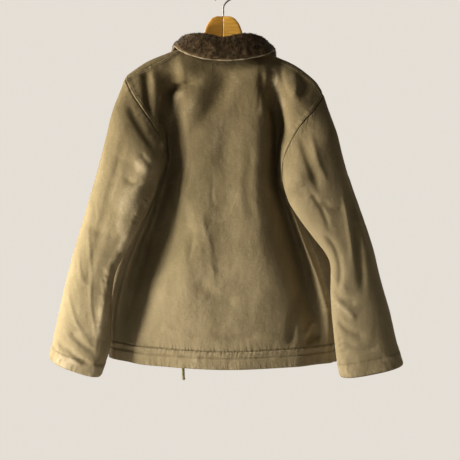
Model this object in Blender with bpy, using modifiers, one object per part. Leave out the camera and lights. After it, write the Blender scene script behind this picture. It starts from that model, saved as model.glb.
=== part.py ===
"""Deck jacket hung on a wooden hanger, seen and shaped from its back.

Tables are in millimetres and the finished meshes in metres. The origin is the point where the
hook hangs, +Z is up, the jacket's back faces +Y and the wearer's left is +X. Every cloth piece is
a wall: a grid of outer points, and the same grid moved in by the cloth's thickness. Pieces that
are sewn together share the points of their seam, and each draws back from it by half the gap.
"""
import math

import bmesh
import bpy
import numpy as np

MM = 0.001
COLLECTION = "deck_jacket_on_hanger"

CLOTH = 3.0          # shell cloth with its pile backing, pressed flat
ARMPIT_CLOTH = 1.2   # the same cloth squeezed where three walls meet in the armpit
ARMPIT_REACH = 85.0
ARMPIT_OPEN = 4.0    # each piece stops this far short of the armpit's corner
SEAM_GAP = 0.4       # between two pieces that are sewn together
COLLAR_PILE = 6.0
PILE_FOOT = 2.6      # the pile's thickness at the neck seam
COLLAR_CLOTH = 2.0
LAY_GAP = 0.3        # between a piece and what it lies on
BAND_HEIGHT = 38.0
MITRE_LEAST = 0.4    # keeps the inner corner of a sharp fold from running too far in
FLAP_WIDTH = 58.0
FLAP_THICK = 2.4
FLAP_LIFT = 2.0      # of the flap off the fronts at its top end, where they curve
BUTTON_RADIUS = 10.0
BUTTON_THICK = 3.2
BUTTON_COUNT = 5
RIDGE_RADIUS = 17.0  # of the cloth over a hanger arm
CORD_RADIUS = 3.0
HOOK_WIRE = 2.0      # radius

LOW_ROWS = 12        # mesh rows from the waist seam to the armpit
HIGH_ROWS = 12       # from the armpit to the shoulder seam
TOP_ROWS = 5         # of those, the ones that go over a hanger arm
BACK_COLS = 24
SHOULDER_COLS = 7    # of the back's columns, at each side of the neck
FRONT_COLS = 14
SLEEVE_ROWS = 18
BAND_ROWS = 3
COLLAR_COLS = 28

LEFT, RIGHT = 1, -1
NECK_HALF = 82.0
NECK_BACK = (0.0, 33.0, -139.0)
NECK_FRONT = (0.0, -62.0, -206.0)
FRONT_EDGE = 0.5     # a front's edge from the centre line
NECK_TOP = 34.0      # the stretch below the front neckline with its rows close together
# The front neckline, from the shoulder seam down.
NECK_LINE = (
    # x, y, drop from the shoulder seam
    (81.5, -1, 4), (79.5, -12, 10), (75, -23, 19), (66, -37, 33), (51, -50, 50), (29, -59, 68),
)
NECK_SPLAY = 16.0    # a front's columns lean out beside the neck, below the shoulder seam

# Where the knots of a back section lie across the panel, from one edge to the middle.
BACK_KNOTS = (0.0, 0.08, 0.18, SHOULDER_COLS / BACK_COLS)
# How far each knot's height has gone from the edge's height to the middle's.
HEIGHT_SHARE = (0.0, 0.1, 0.3, 0.6)

# Back panel, one row for each section from the waist seam up. Columns: height at the edge, then
# distance from the centre line and depth at the side or armhole edge, at the soft ridge inside
# it, at the bottom of the long valley, and at the crest where the flat of the back begins.
BACK_LEFT = (
    # z_edge, edge_x, edge_y, ridge_x, ridge_y, valley_x, valley_y, crest_x, crest_y
    (-745, 240, -8, 230, 10, 204, 16, 166, 38),
    (-690, 240, -8, 226, 16, 200, 4, 160, 42),
    (-640, 232, -6, 216, 20, 190, -2, 148, 46),
    (-590, 218, -2, 202, 22, 178, -8, 132, 50),
    (-540, 196, 2, 182, 26, 163, -12, 118, 53),
    (-488, 174, 6, 159, 28, 146, -14, 106, 54),
    (-430, 155, 6, 140, 22, 128, -10, 97, 55),
    (-364, 126, 36, 119, 17, 112, -6, 90, 55),
    (-346, 125, 46, 119, 28, 112, 0, 89, 54),
    (-322, 129, 56, 123, 41, 114, 10, 88, 53),
    (-298, 143, 64, 131, 53, 114, 20, 87, 53),
    (-274, 159, 68, 140, 59, 114, 28, 86, 52),
    (-252, 174, 68, 148, 60, 112, 36, 84, 51),
    (-228, 190, 62, 156, 56, 112, 42, 83, 48),
)
BACK_RIGHT = (
    (-754, 234, -8, 226, 12, 196, 20, 150, 42),
    (-691, 232, -6, 220, 22, 186, 4, 146, 45),
    (-647, 224, -2, 208, 27, 178, -6, 134, 48),
    (-596, 208, 2, 192, 29, 171, -12, 120, 51),
    (-538, 186, 2, 170, 30, 156, -14, 104, 54),
    (-487, 165, 8, 151, 31, 139, -12, 92, 55),
    (-445, 151, 9, 135, 23, 124, -8, 86, 56),
    (-410, 125, 36, 117, 17, 111, -8, 83, 56),
    (-392, 124, 46, 117, 28, 111, -4, 83, 56),
    (-366, 125, 55, 120, 39, 112, 0, 84, 56),
    (-338, 136, 62, 127, 48, 113, 6, 85, 55),
    (-308, 152, 70, 134, 58, 112, 16, 86, 54),
    (-284, 170, 74, 142, 66, 110, 30, 84, 53),
    (-262, 190, 70, 150, 64, 109, 42, 83, 50),
)
# Depth and height of the back on its centre line, for the same rows.
BACK_MIDDLE = (
    (52, -768), (55, -716), (56, -664), (57, -612), (58, -560), (58, -506), (58, -452),
    (57, -398), (56, -362), (55, -326), (53, -290), (51, -254), (47, -218), (40, -180),
)
ARMPIT_ROW = 7

# Top of the cloth over a hanger arm: distance from the centre line and height.
RIDGE_LEFT = ((60, -122), (82, -127), (104, -134), (154, -155), (186, -175), (204, -190), (217, -206))
RIDGE_RIGHT = ((60, -126), (82, -132), (110, -146), (150, -165), (193, -199), (207, -220), (215, -239))
# Angle of the shoulder seam round the arm, from the top to the back, by distance out.
SEAM_ANGLE = {
    LEFT: ((82, 5), (104, 50), (125, 68), (160, 80), (182, 62), (205, 50)),
    RIGHT: ((82, 5), (110, 34), (160, 42), (185, 42), (210, 42)),
}
FRONT_ANGLE = -75.0                        # where the front begins to go over the arm
TIP_OUT = {LEFT: 205.0, RIGHT: 210.0}     # where the shoulder seam meets the armhole
TIP_DEPTH = 50.0
ARM_BEND_DEPTH, ARM_BEND_REACH, ARM_BEND_POWER = 38.0, 215.0, 1.4

# Fronts, one row for each section. Columns: distance and depth at the outer roll, at the middle
# of the panel, then depth and height at the front edge.
FRONT_LOW = (
    # roll_x, roll_y, mid_x, mid_y, edge_y, edge_z
    (224, -36, 118, -52, -56, -770),
    (228, -42, 120, -57, -60, -718),
    (226, -46, 120, -60, -63, -666),
    (219, -48, 119, -62, -65, -614),
    (206, -50, 118, -63, -67, -560),
    (192, -50, 117, -63, -68, -508),
    (178, -50, 116, -62, -68, -455),
    (163, -46, 113, -60, -68, -400),
)
# Two more sections above the armpit. Columns: distance, depth and height at the armhole, at the
# outer roll and at the middle of the panel, then depth and height at the front edge.
FRONT_HIGH = {
    LEFT: (
        # arm_x, arm_y, arm_z, roll_x, roll_y, roll_z, mid_x, mid_y, mid_z, edge_y, edge_z
        (158, -20, -300, 148, -42, -310, 110, -56, -325, -68, -345),
        (184, -10, -244, 160, -32, -252, 104, -44, -268, -66, -282),
    ),
    RIGHT: (
        (158, -20, -342, 148, -42, -342, 110, -56, -340, -68, -345),
        (186, -10, -280, 160, -32, -276, 104, -44, -274, -66, -282),
    ),
}
FRONT_KNOTS = (0.0, 0.25, SHOULDER_COLS / FRONT_COLS, 1.0)

# Sleeves, one row for each ring below the armhole. Columns: distance and height of the outer and
# of the inner side, depth of the middle, half the depth, and how far the back of the ring dips.
SLEEVE = {
    LEFT: (
        # outer_x, outer_z, inner_x, inner_z, mid_y, half_y, dip
        (231, -262, 130, -386, 52, 33, 0),
        (248, -328, 139, -428, 52, 33, 0),
        (265, -394, 158, -474, 50, 34, 0),
        (284, -458, 184, -524, 47, 34, 2),
        (303, -522, 221, -590, 45, 33, 4),
        (322, -590, 236, -648, 42, 33, 4),
        (340, -664, 241, -710, 39, 34, 6),
        (356, -733, 247, -766, 36, 35, 10),
        (365, -778, 260, -815, 34, 35, 13),
    ),
    RIGHT: (
        (231, -290, 129, -430, 52, 33, 0),
        (247, -345, 140, -458, 52, 33, 0),
        (264, -402, 162, -492, 50, 34, 0),
        (285, -462, 193, -532, 47, 34, 2),
        (305, -520, 223, -578, 45, 33, 4),
        (326, -596, 229, -648, 42, 33, 4),
        (346, -672, 234, -712, 39, 34, 4),
        (364, -742, 240, -770, 36, 34, 6),
        (378, -792, 250, -818, 34, 34, 10),
    ),
}
SECTION_POWER = 0.8  # under 1 squares a sleeve's section a little

# Collar, one row for each station from the middle of the back to the front end. Columns: share of
# the way, then the top of the roll and the edge of the fall, on the cloth under the pile.
COLLAR = {
    LEFT: (
        # share, roll_x, roll_y, roll_z, fall_x, fall_y, fall_z
        (0.0, 0, 42, -112, 0, 60, -157),
        (0.15, 34, 40, -105, 38, 58, -154),
        (0.25, 58, 34, -103, 70, 53, -145),
        (0.32, 76, 21, -105, 93, 42, -134),
        (0.39, 85, 4, -109, 103, 14, -125),
        (0.55, 84, -18, -124, 108, -20, -156),
        (0.78, 62, -48, -152, 88, -52, -198),
        (1.0, 24, -74, -186, 44, -80, -238),
    ),
    RIGHT: (
        (0.0, 0, 42, -112, 0, 60, -157),
        (0.15, 34, 40, -105, 38, 58, -155),
        (0.25, 59, 34, -104, 72, 53, -149),
        (0.32, 77, 21, -109, 96, 44, -142),
        (0.39, 86, 4, -114, 107, 16, -134),
        (0.55, 85, -18, -128, 109, -20, -162),
        (0.78, 62, -48, -154, 88, -52, -200),
        (1.0, 24, -74, -186, 44, -80, -238),
    ),
}
COLLAR_END = 12.0    # along the neck seam, from the front edge to the collar's end
COLLAR_BASE_LIFT = 0.8
STAND_FOOT = 6.0     # the stand rises straight up this far
ROLL_RADIUS = 6.0

# Hanger arms, one row for each section. Columns: distance, top, height, half thickness and how
# square the section is.
CROWN_SECTIONS = (
    (0.2, -62, 70, 8.0, 0.5),
    (14, -62, 70, 8.0, 0.5),
    (24, -68, 62, 8.0, 0.5),
    (33, -78, 52, 8.5, 0.6),
    (39, -92, 42, 9.0, 0.7),
    (44, -107, 33, 9.0, 0.8),
    (52, -122, 29, 8.5, 0.9),
    (63, -133, 25, 8.5, 1.0),
    (80, -138, 24, 9.0, 1.0),
)
ARM_STATIONS = (0.52, 0.66, 0.8, 0.9, 1.0)   # shares of the arm's reach
ARM_REACH = {LEFT: 182.0, RIGHT: 172.0}
ARM_HALF = 9.5
ARM_HEIGHT = 25.0
ARM_TOP_GAP = 1.2
ARM_SIDES = 14

# Hook: the wire's middle line in its own plane, up the stem and over to the round part.
STEM = ((0, -61.7), (0, -52), (0, -44), (-3, -37), (-8, -30), (-14, -25))
HOOK_CENTRE_Z = -17.0
HOOK_RADIUS = 19.0
HOOK_START, HOOK_END, HOOK_STEPS = 200.0, -45.0, 15

# The end of the drawcord, from the casing inside the hem band: distance, depth and height.
CORD_ROUTE = ((84, 43, -776), (84, 40, -784), (84.3, 38.8, -794), (84, 39, -808), (83.4, 40, -826))
CORD_POINTS = 9

# name: colour, roughness, metallic
FINISHES = {
    "shell_cloth": ((0.23, 0.19, 0.11), 0.85, 0.0),
    "collar_pile": ((0.05, 0.035, 0.022), 0.95, 0.0),
    "collar_cloth": ((0.38, 0.32, 0.2), 0.85, 0.0),
    "hanger_wood": ((0.42, 0.25, 0.08), 0.45, 0.0),
    "hook_metal": ((0.35, 0.34, 0.32), 0.3, 1.0),
    "button_plastic": ((0.06, 0.045, 0.03), 0.4, 0.0),
    "cord_cotton": ((0.16, 0.15, 0.08), 0.9, 0.0),
}


def spline(knots, values, at):
    """A smooth curve through values at knots, read at each number in at."""
    knots = np.asarray(knots, float)
    values = np.asarray(values, float)
    at = np.atleast_1d(np.asarray(at, float))
    slopes = np.empty_like(values)
    slopes[1:-1] = (values[2:] - values[:-2]) / (knots[2:] - knots[:-2])[:, None]
    slopes[0] = (values[1] - values[0]) / (knots[1] - knots[0])
    slopes[-1] = (values[-1] - values[-2]) / (knots[-1] - knots[-2])
    cell = np.clip(np.searchsorted(knots, at, side="right") - 1, 0, len(knots) - 2)
    span = knots[cell + 1] - knots[cell]
    t = ((at - knots[cell]) / span)[:, None]
    span = span[:, None]
    start = (2 * t**3 - 3 * t**2 + 1) * values[cell] + (t**3 - 2 * t**2 + t) * span * slopes[cell]
    end = (3 * t**2 - 2 * t**3) * values[cell + 1] + (t**3 - t**2) * span * slopes[cell + 1]
    return start + end


def even_path(points, count):
    """count + 1 points at equal steps along a smooth curve through points."""
    points = np.asarray(points, float)
    steps = np.linalg.norm(np.diff(points, axis=0), axis=1)
    fine = spline(np.concatenate(([0], np.cumsum(steps))), points, np.linspace(0, steps.sum(), 400))
    run = np.concatenate(([0], np.cumsum(np.linalg.norm(np.diff(fine, axis=0), axis=1))))
    at = np.linspace(0, run[-1], count + 1)
    return np.stack([np.interp(at, run, fine[:, axis]) for axis in range(3)], axis=1)


def rows_along(points, top):
    """The mesh rows of a column from the armpit's height up, close together along its top."""
    fine = even_path(points, 300)
    run = np.concatenate(([0], np.cumsum(np.linalg.norm(np.diff(fine, axis=0), axis=1))))
    turn = run[-1] - top
    at = np.concatenate([np.linspace(0, turn, HIGH_ROWS - TOP_ROWS + 1),
                         np.linspace(turn, run[-1], TOP_ROWS + 1)[1:]])
    return np.stack([np.interp(at, run, fine[:, axis]) for axis in range(3)], axis=1)


def ridge_height(side, out):
    table = np.array(RIDGE_LEFT if side == LEFT else RIDGE_RIGHT, float)
    return float(spline(table[:, 0], table[:, 1:], [out])[0, 0])


def arm_depth(out):
    """The hanger's arms bend towards the jacket's back."""
    return ARM_BEND_DEPTH * (out / ARM_BEND_REACH) ** ARM_BEND_POWER


def seam_angle(side, out):
    table = np.array(SEAM_ANGLE[side], float)
    return float(np.interp(out, table[:, 0], table[:, 1]))


def over_arm(side, out, degrees):
    """A point of the cloth over a hanger arm, by its angle from the top towards the back."""
    angle = math.radians(degrees)
    depth = arm_depth(out) + RIDGE_RADIUS * math.sin(angle)
    return side * out, depth, ridge_height(side, out) - RIDGE_RADIUS * (1 - math.cos(angle))


def half_back_rows(side):
    """Knot points of one half of the back: rows from the waist up, knots from the edge in."""
    table = np.array(BACK_LEFT if side == LEFT else BACK_RIGHT, float)
    rows = []
    for row, (mid_y, mid_z) in zip(table, BACK_MIDDLE):
        rise = mid_z - row[0]
        rows.append([(side * row[1 + 2 * k], row[2 + 2 * k], row[0] + share * rise)
                     for k, share in enumerate(HEIGHT_SHARE)])
    outs = (TIP_OUT[side], 160.0, 116.0, NECK_HALF)
    top = [over_arm(side, out, seam_angle(side, out)) for out in outs]
    rows.append(top)
    rows = np.array(rows)
    rows[-1, 0, 1] = TIP_DEPTH
    first, last = ARMPIT_ROW, len(rows) - 1
    for i in range(first + 1, last):
        t = (i - first) / (last - first)
        for k, share in enumerate(HEIGHT_SHARE[1:], 1):
            straight = (1 - t) * rows[first, k, 2] + t * rows[last, k, 2]
            edge_bow = rows[i, 0, 2] - (1 - t) * rows[first, 0, 2] - t * rows[last, 0, 2]
            rows[i, k, 2] = straight + (1 - share) * edge_bow
    return rows


def back_grid():
    """The back from side to side (columns) and from the waist seam to the shoulders (rows)."""
    left, right = half_back_rows(LEFT), half_back_rows(RIGHT)
    middle = [(0.0, y, z) for y, z in BACK_MIDDLE] + [NECK_BACK]
    knots = list(BACK_KNOTS) + [0.5] + [1 - k for k in reversed(BACK_KNOTS)]
    columns = np.linspace(0, 1, BACK_COLS + 1)
    sections = []
    for a, mid, b in zip(left, middle, right):
        sections.append(spline(knots, np.vstack([a, [mid], b[::-1]]), columns))
    sections = np.array(sections)
    low = np.linspace(0, ARMPIT_ROW, LOW_ROWS + 1)
    high = np.linspace(ARMPIT_ROW, len(sections) - 1, HIGH_ROWS + 1)[1:]
    for j in range(SHOULDER_COLS + 1):
        for side, column in ((LEFT, j), (RIGHT, BACK_COLS - j)):
            out = abs(sections[-1, column, 0])
            depth = sections[-1, column, 1]
            sections[-1, column] = over_arm(side, out, seam_angle(side, out))
            if j == 0:
                sections[-1, column, 1] = depth
    flat = sections.reshape(len(sections), -1)
    grid = spline(np.arange(len(sections)), flat, np.concatenate([low, high]))
    return grid.reshape(-1, BACK_COLS + 1, 3)


def side_columns(back, side):
    """The back's grid read from its edge at one side."""
    return back if side == LEFT else back[:, ::-1]


def front_grid(back, side):
    """One front, from its side seam and armhole to its front edge, and from the waist up."""
    edge = side_columns(back, side)
    columns = np.linspace(0, 1, FRONT_COLS + 1)
    stations = np.linspace(0, ARMPIT_ROW, LOW_ROWS + 1)
    table = spline(np.arange(len(FRONT_LOW)), np.array(FRONT_LOW, float), stations)
    low = []
    for i, (roll_x, roll_y, mid_x, mid_y, edge_y, edge_z) in enumerate(table):
        start = edge[i, 0]
        knots = [start, (side * roll_x, roll_y, start[2] + 0.1 * (edge_z - start[2])),
                 (side * mid_x, mid_y, start[2] + 0.6 * (edge_z - start[2])),
                 (side * FRONT_EDGE, edge_y, edge_z)]
        low.append(spline(FRONT_KNOTS, knots, columns))
    low = np.array(low)
    chest = []
    for row in FRONT_HIGH[side]:
        knots = [(side * row[k], row[k + 1], row[k + 2]) for k in (0, 3, 6)]
        knots.append((side * FRONT_EDGE, row[9], row[10]))
        chest.append(spline(FRONT_KNOTS, knots, columns))
    neck = edge[-1, SHOULDER_COLS]
    neckline = [(side * x, y, neck[2] - drop) for x, y, drop in NECK_LINE]
    neckline.append((side * FRONT_EDGE, *NECK_FRONT[1:]))
    high = []
    for j in range(FRONT_COLS + 1):
        path = [low[-1, j], chest[0][j], chest[1][j]]
        if j <= SHOULDER_COLS:
            seam = edge[-1, j]
            out = abs(seam[0])
            last = seam_angle(side, out)
            splay = NECK_SPLAY * (j / SHOULDER_COLS) ** 3
            for share in np.arange(5) / 5:
                degrees = FRONT_ANGLE + share * (last - FRONT_ANGLE)
                x, y, z = over_arm(side, out, degrees)
                path.append((x + side * splay * (1 - share), y, z - 0.3 * splay * (1 - share)))
            path.append(seam)
            top = RIDGE_RADIUS * math.radians(last - FRONT_ANGLE)
        else:
            end = np.array(neckline[j - SHOULDER_COLS - 1])
            near = j - SHOULDER_COLS
            path.append(end + (side * 6 / near, -16 / near, -14))
            path.append(end)
            top = NECK_TOP
        high.append(rows_along(path, top))
    high = np.array(high).transpose(1, 0, 2)
    return np.vstack([low, high[1:]])


def armhole(back, front, side):
    """The closed armhole: up the back from the armpit, over the shoulder and down the front."""
    up = side_columns(back, side)[LOW_ROWS:, 0]
    down = front[LOW_ROWS:, 0][::-1]
    return np.vstack([up, down[1:-1]])


def sleeve_grid(back, front, side):
    """A sleeve as rings from the armhole to the cuff, each starting at its inner side."""
    hole = armhole(back, front, side)
    rings = [hole]
    count = len(hole)
    steps = np.linalg.norm(np.roll(hole, -1, axis=0) - hole, axis=1)
    run = np.concatenate(([0], np.cumsum(steps)))
    turn = np.interp(run[:-1], (0, run[HIGH_ROWS], run[-1]), (0, math.pi, 2 * math.pi))
    for outer_x, outer_z, inner_x, inner_z, mid_y, half_y, dip in SLEEVE[side]:
        across = -np.sign(np.cos(turn)) * np.abs(np.cos(turn)) ** SECTION_POWER
        deep = np.sign(np.sin(turn)) * np.abs(np.sin(turn)) ** SECTION_POWER
        x = side * ((outer_x + inner_x) / 2 + across * (outer_x - inner_x) / 2)
        z = (outer_z + inner_z) / 2 + across * (outer_z - inner_z) / 2 - dip * deep
        rings.append(np.stack([x, mid_y + half_y * deep, z], axis=1))
    rings = np.array(rings)
    flat = rings.reshape(len(rings), -1)
    steps = np.linspace(0, len(rings) - 1, SLEEVE_ROWS + 1)
    return spline(np.arange(len(rings)), flat, steps).reshape(-1, count, 3)


def band_grid(back, fronts):
    """The hem band, from one front edge round the back to the other, top row on the waist seam."""
    top = np.vstack([fronts[LEFT][0, ::-1], back[0, 1:-1], fronts[RIGHT][0]])
    rows = []
    for i in range(BAND_ROWS + 1):
        down = i / BAND_ROWS
        row = top.copy()
        row[:, 2] -= BAND_HEIGHT * down
        row[:, 1] += np.sign(row[:, 1]) * 1.5 * math.sin(math.pi * down)
        rows.append(row)
    return np.array(rows[::-1])


def grid_normals(grid, closed):
    """Unit normals of a grid's points."""
    if closed:
        along = np.roll(grid, -1, axis=1) - np.roll(grid, 1, axis=1)
    else:
        along = np.gradient(grid, axis=1)
    normal = np.cross(along, np.gradient(grid, axis=0))
    return normal / np.linalg.norm(normal, axis=2)[..., None]


def point_key(point):
    return tuple(int(round(value * 100)) for value in point)


def mitre(normals):
    """The step that goes out of every one of the faces meeting at a point by one unit."""
    if len(normals) == 1:
        return normals[0]
    normals = np.array(normals)
    middle = normals.mean(axis=0)
    for turn in range(60):
        worst = normals[np.argmin(normals @ middle)]
        middle = middle + (worst - middle) / (turn + 2)
    length = np.linalg.norm(middle)
    return middle / length / max(length, MITRE_LEAST)


class Seams:
    """Shares one step outwards among all pieces that meet at a point."""

    def __init__(self):
        self.normals = {}

    def add(self, grid, closed=False):
        for point, normal in zip(grid.reshape(-1, 3), grid_normals(grid, closed).reshape(-1, 3)):
            self.normals.setdefault(point_key(point), []).append(normal)

    def outward(self, grid, closed):
        found = np.array([mitre(self.normals[point_key(point)]) for point in grid.reshape(-1, 3)])
        found = found.reshape(grid.shape)
        corner = armpit_distance(grid) < 0.01
        found[corner] = grid_normals(grid, closed)[corner]
        inner_cols = slice(None) if closed else slice(1, -1)
        for _ in range(2):
            around = found * 2
            for step, axis in ((1, 0), (-1, 0), (1, 1), (-1, 1)):
                around = around + np.roll(found, step, axis=axis)
            around /= np.linalg.norm(around, axis=2)[..., None]
            found[1:-1, inner_cols] = around[1:-1, inner_cols]
        return found


def armpit_distance(grid):
    """How far each point of a grid is from the nearer armpit's corner."""
    away = []
    for side, table in ((LEFT, BACK_LEFT), (RIGHT, BACK_RIGHT)):
        height, out, deep = table[ARMPIT_ROW][:3]
        away.append(np.linalg.norm(grid - (side * out, deep, height), axis=2))
    return np.minimum(*away)


def draw_back(grid, closed):
    """The grid with its edges drawn in by half a seam's gap, and further at the armpits."""
    moved = grid.copy()
    half = SEAM_GAP / 2

    def step(edge, inside):
        way = inside - edge
        return half * way / np.linalg.norm(way, axis=1)[:, None]

    moved[0] += step(grid[0], grid[1])
    moved[-1] += step(grid[-1], grid[-2])
    if not closed:
        moved[:, 0] += step(grid[:, 0], grid[:, 1])
        moved[:, -1] += step(grid[:, -1], grid[:, -2])
    for i, j in np.argwhere(armpit_distance(grid) < 0.01):
        inside = grid[1, j] if closed else grid[i, 1 if j == 0 else -2]
        way = inside - grid[i, j]
        moved[i, j] = grid[i, j] + ARMPIT_OPEN * way / np.linalg.norm(way)
    return moved


def wall_mesh(name, outer, inner, closed):
    """One closed body between two grids of points."""
    rows, cols = outer.shape[:2]
    count = rows * cols
    points = np.vstack([outer.reshape(-1, 3), inner.reshape(-1, 3)]) * MM
    faces = []
    span = cols if closed else cols - 1
    for i in range(rows - 1):
        for j in range(span):
            k = (j + 1) % cols
            a, b, c, d = i * cols + j, i * cols + k, (i + 1) * cols + k, (i + 1) * cols + j
            faces.append((a, b, c, d))
            faces.append((a + count, d + count, c + count, b + count))
    for j in range(span):
        k = (j + 1) % cols
        top = (rows - 1) * cols
        faces.append((j, j + count, k + count, k))
        faces.append((top + j, top + k, top + k + count, top + j + count))
    if not closed:
        for i in range(rows - 1):
            a, b = i * cols, (i + 1) * cols
            faces.append((a, b, b + count, a + count))
            a, b = a + cols - 1, b + cols - 1
            faces.append((a, a + count, b + count, b))
    mesh = bpy.data.meshes.new(name)
    mesh.from_pydata(points.tolist(), [], faces)
    work = bmesh.new()
    work.from_mesh(mesh)
    bmesh.ops.triangulate(work, faces=work.faces[:])
    bmesh.ops.recalc_face_normals(work, faces=work.faces[:])
    work.to_mesh(mesh)
    work.free()
    return mesh


def finish(name):
    colour, roughness, metallic = FINISHES[name]
    material = bpy.data.materials.get(name)
    if material is None:
        material = bpy.data.materials.new(name)
        material.use_nodes = True
        shader = material.node_tree.nodes["Principled BSDF"]
        shader.inputs["Base Color"].default_value = (*colour, 1.0)
        shader.inputs["Roughness"].default_value = roughness
        shader.inputs["Metallic"].default_value = metallic
    return material


def place(name, data, finish_name, collection):
    """Puts one named piece in the jacket's collection."""
    piece = bpy.data.objects.new(name, data)
    piece.data.materials.append(finish(finish_name))
    collection.objects.link(piece)
    if data.name in bpy.data.meshes:
        data.shade_smooth()
    return piece


def cloth_depth(grid):
    """The cloth's thickness at each point, less near the two armpits."""
    near = np.clip(1 - armpit_distance(grid) / ARMPIT_REACH, 0, 1)
    return CLOTH + (ARMPIT_CLOTH - CLOTH) * near


def cloth_piece(name, grid, seams, collection, closed=False, finish_name="shell_cloth"):
    outer = draw_back(grid, closed)
    inner = outer - cloth_depth(grid)[..., None] * seams.outward(grid, closed)
    place(name, wall_mesh(name, outer, inner, closed), finish_name, collection)


def collar_sections():
    """Stations of the collar from its left front end round the back to its right one."""
    half = {}
    for side in (LEFT, RIGHT):
        table = np.array(COLLAR[side], float)
        table[:, 0] *= -side
        table[:, 1] *= side
        table[:, 4] *= side
        half[side] = table
    return np.vstack([half[LEFT][::-1], half[RIGHT][1:]])


def neck_line(back, fronts):
    """The neck seam from the left front edge round the back to the right one."""
    left = fronts[LEFT][-1, SHOULDER_COLS:][::-1]
    middle = back[-1, SHOULDER_COLS:BACK_COLS - SHOULDER_COLS + 1]
    right = fronts[RIGHT][-1, SHOULDER_COLS:]
    return np.vstack([left, middle[1:-1], right])


def collar_grid(back, fronts):
    """The face between the collar's pile and its cloth: columns along the neck, rows from the
    neck seam over the roll to the edge of the fall."""
    table = collar_sections()
    line = neck_line(back, fronts)
    run = np.concatenate(([0], np.cumsum(np.linalg.norm(np.diff(line, axis=0), axis=1))))
    at = np.linspace(COLLAR_END, run[-1] - COLLAR_END, COLLAR_COLS + 1)
    base = np.stack([np.interp(at, run, line[:, axis]) for axis in range(3)], axis=1)
    base[1:-1, :2] = (base[:-2, :2] + 2 * base[1:-1, :2] + base[2:, :2]) / 4
    stations = spline(table[:, 0], table[:, 1:], np.linspace(-1, 1, COLLAR_COLS + 1))
    paths = []
    for start, row in zip(base, stations):
        roll, fall = row[:3], row[3:]
        start = start + (0, 0, COLLAR_BASE_LIFT)
        way = np.array([fall[0] - start[0], fall[1] - start[1], 0.0])
        way /= np.linalg.norm(way)
        up = np.array([0, 0, 1.0])
        stand_top = roll - ROLL_RADIUS * (way + up)
        fall_top = roll + ROLL_RADIUS * (way - up)
        foot = start + STAND_FOOT * up
        paths.append([start, foot, (foot + stand_top) / 2, stand_top, roll, fall_top,
                      (fall_top + fall) / 2 + 1.5 * way, fall])
    return np.array(paths).transpose(1, 0, 2)


def make_collar(back, fronts, collection):
    grid = collar_grid(back, fronts)
    normal = -grid_normals(grid, False)
    normal[:, 1:-1] = (normal[:, :-2] + normal[:, 1:-1] + normal[:, 2:]) / 3
    thick = np.interp(np.arange(len(grid)), (0, 3), (PILE_FOOT, COLLAR_PILE))
    pile = grid + thick[:, None, None] * normal
    place("collar_pile", wall_mesh("collar_pile", pile, grid + LAY_GAP * normal, False),
          "collar_pile", collection)
    place("collar_cloth", wall_mesh("collar_cloth", grid, grid - COLLAR_CLOTH * normal, False),
          "collar_cloth", collection)


def make_flap(fronts, collection):
    """The flap over the front opening, made from the fronts' own points moved out."""
    cols = 4
    left = fronts[LEFT]
    right = fronts[RIGHT]
    rows = []
    for i in range(1, len(left) - 3):
        line = np.vstack([left[i, ::-1][:cols][::-1], right[i, ::-1][:cols]])
        xs = np.linspace(FLAP_WIDTH / 2, -FLAP_WIDTH / 2, cols * 2 - 1)
        order = np.argsort(line[:, 0])
        y = np.interp(xs, line[order, 0], line[order, 1])
        z = np.interp(xs, line[order, 0], line[order, 2])
        lift = np.interp(i, (len(left) - 9, len(left) - 4), (LAY_GAP + 0.4, FLAP_LIFT))
        rows.append(np.stack([xs, y - lift, z], axis=1))
    inner = np.array(rows)
    outer = inner - (0, FLAP_THICK, 0)
    place("front_flap", wall_mesh("front_flap", outer, inner, False), "shell_cloth", collection)
    return outer


def make_buttons(flap, collection):
    """Plain buttons down the flap, each turned to lie on it."""
    middle = flap[:, flap.shape[1] // 2]
    heights = np.linspace(0.92, 0.06, BUTTON_COUNT)
    for number, share in enumerate(heights, 1):
        at = share * (len(middle) - 1)
        low = int(at)
        point = middle[low] + (at - low) * (middle[low + 1] - middle[low])
        lean = middle[low + 1] - middle[low]
        tilt = math.atan2(lean[1], lean[2])
        bpy.ops.mesh.primitive_cylinder_add(
            vertices=20, radius=BUTTON_RADIUS * MM, depth=BUTTON_THICK * MM,
            location=((point[0]) * MM, (point[1] - BUTTON_THICK / 2 - LAY_GAP - 0.3) * MM, point[2] * MM),
            rotation=(math.pi / 2 - tilt, 0, 0))
        button = bpy.context.object
        button.name = f"button_{number}"
        bevel = button.modifiers.new("rim", "BEVEL")
        bevel.width = 0.8 * MM
        bevel.segments = 1
        button.data.materials.append(finish("button_plastic"))
        for other in list(button.users_collection):
            other.objects.unlink(button)
        collection.objects.link(button)


def arm_section(out, side, top, height, half, square):
    turn = np.arange(ARM_SIDES) * 2 * math.pi / ARM_SIDES
    deep = np.sign(np.cos(turn)) * np.abs(np.cos(turn)) ** square
    high = np.sign(np.sin(turn)) * np.abs(np.sin(turn)) ** square
    x = np.full(ARM_SIDES, side * out)
    return np.stack([x, arm_depth(out) + half * deep, top - height / 2 + height / 2 * high], axis=1)


def arm_top(side, out):
    """Top of a hanger arm, under the cloth that lies on it."""
    slope = (ridge_height(side, out + 4) - ridge_height(side, out - 4)) / 8
    return ridge_height(side, out) - CLOTH * math.hypot(1, slope) - ARM_TOP_GAP


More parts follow.
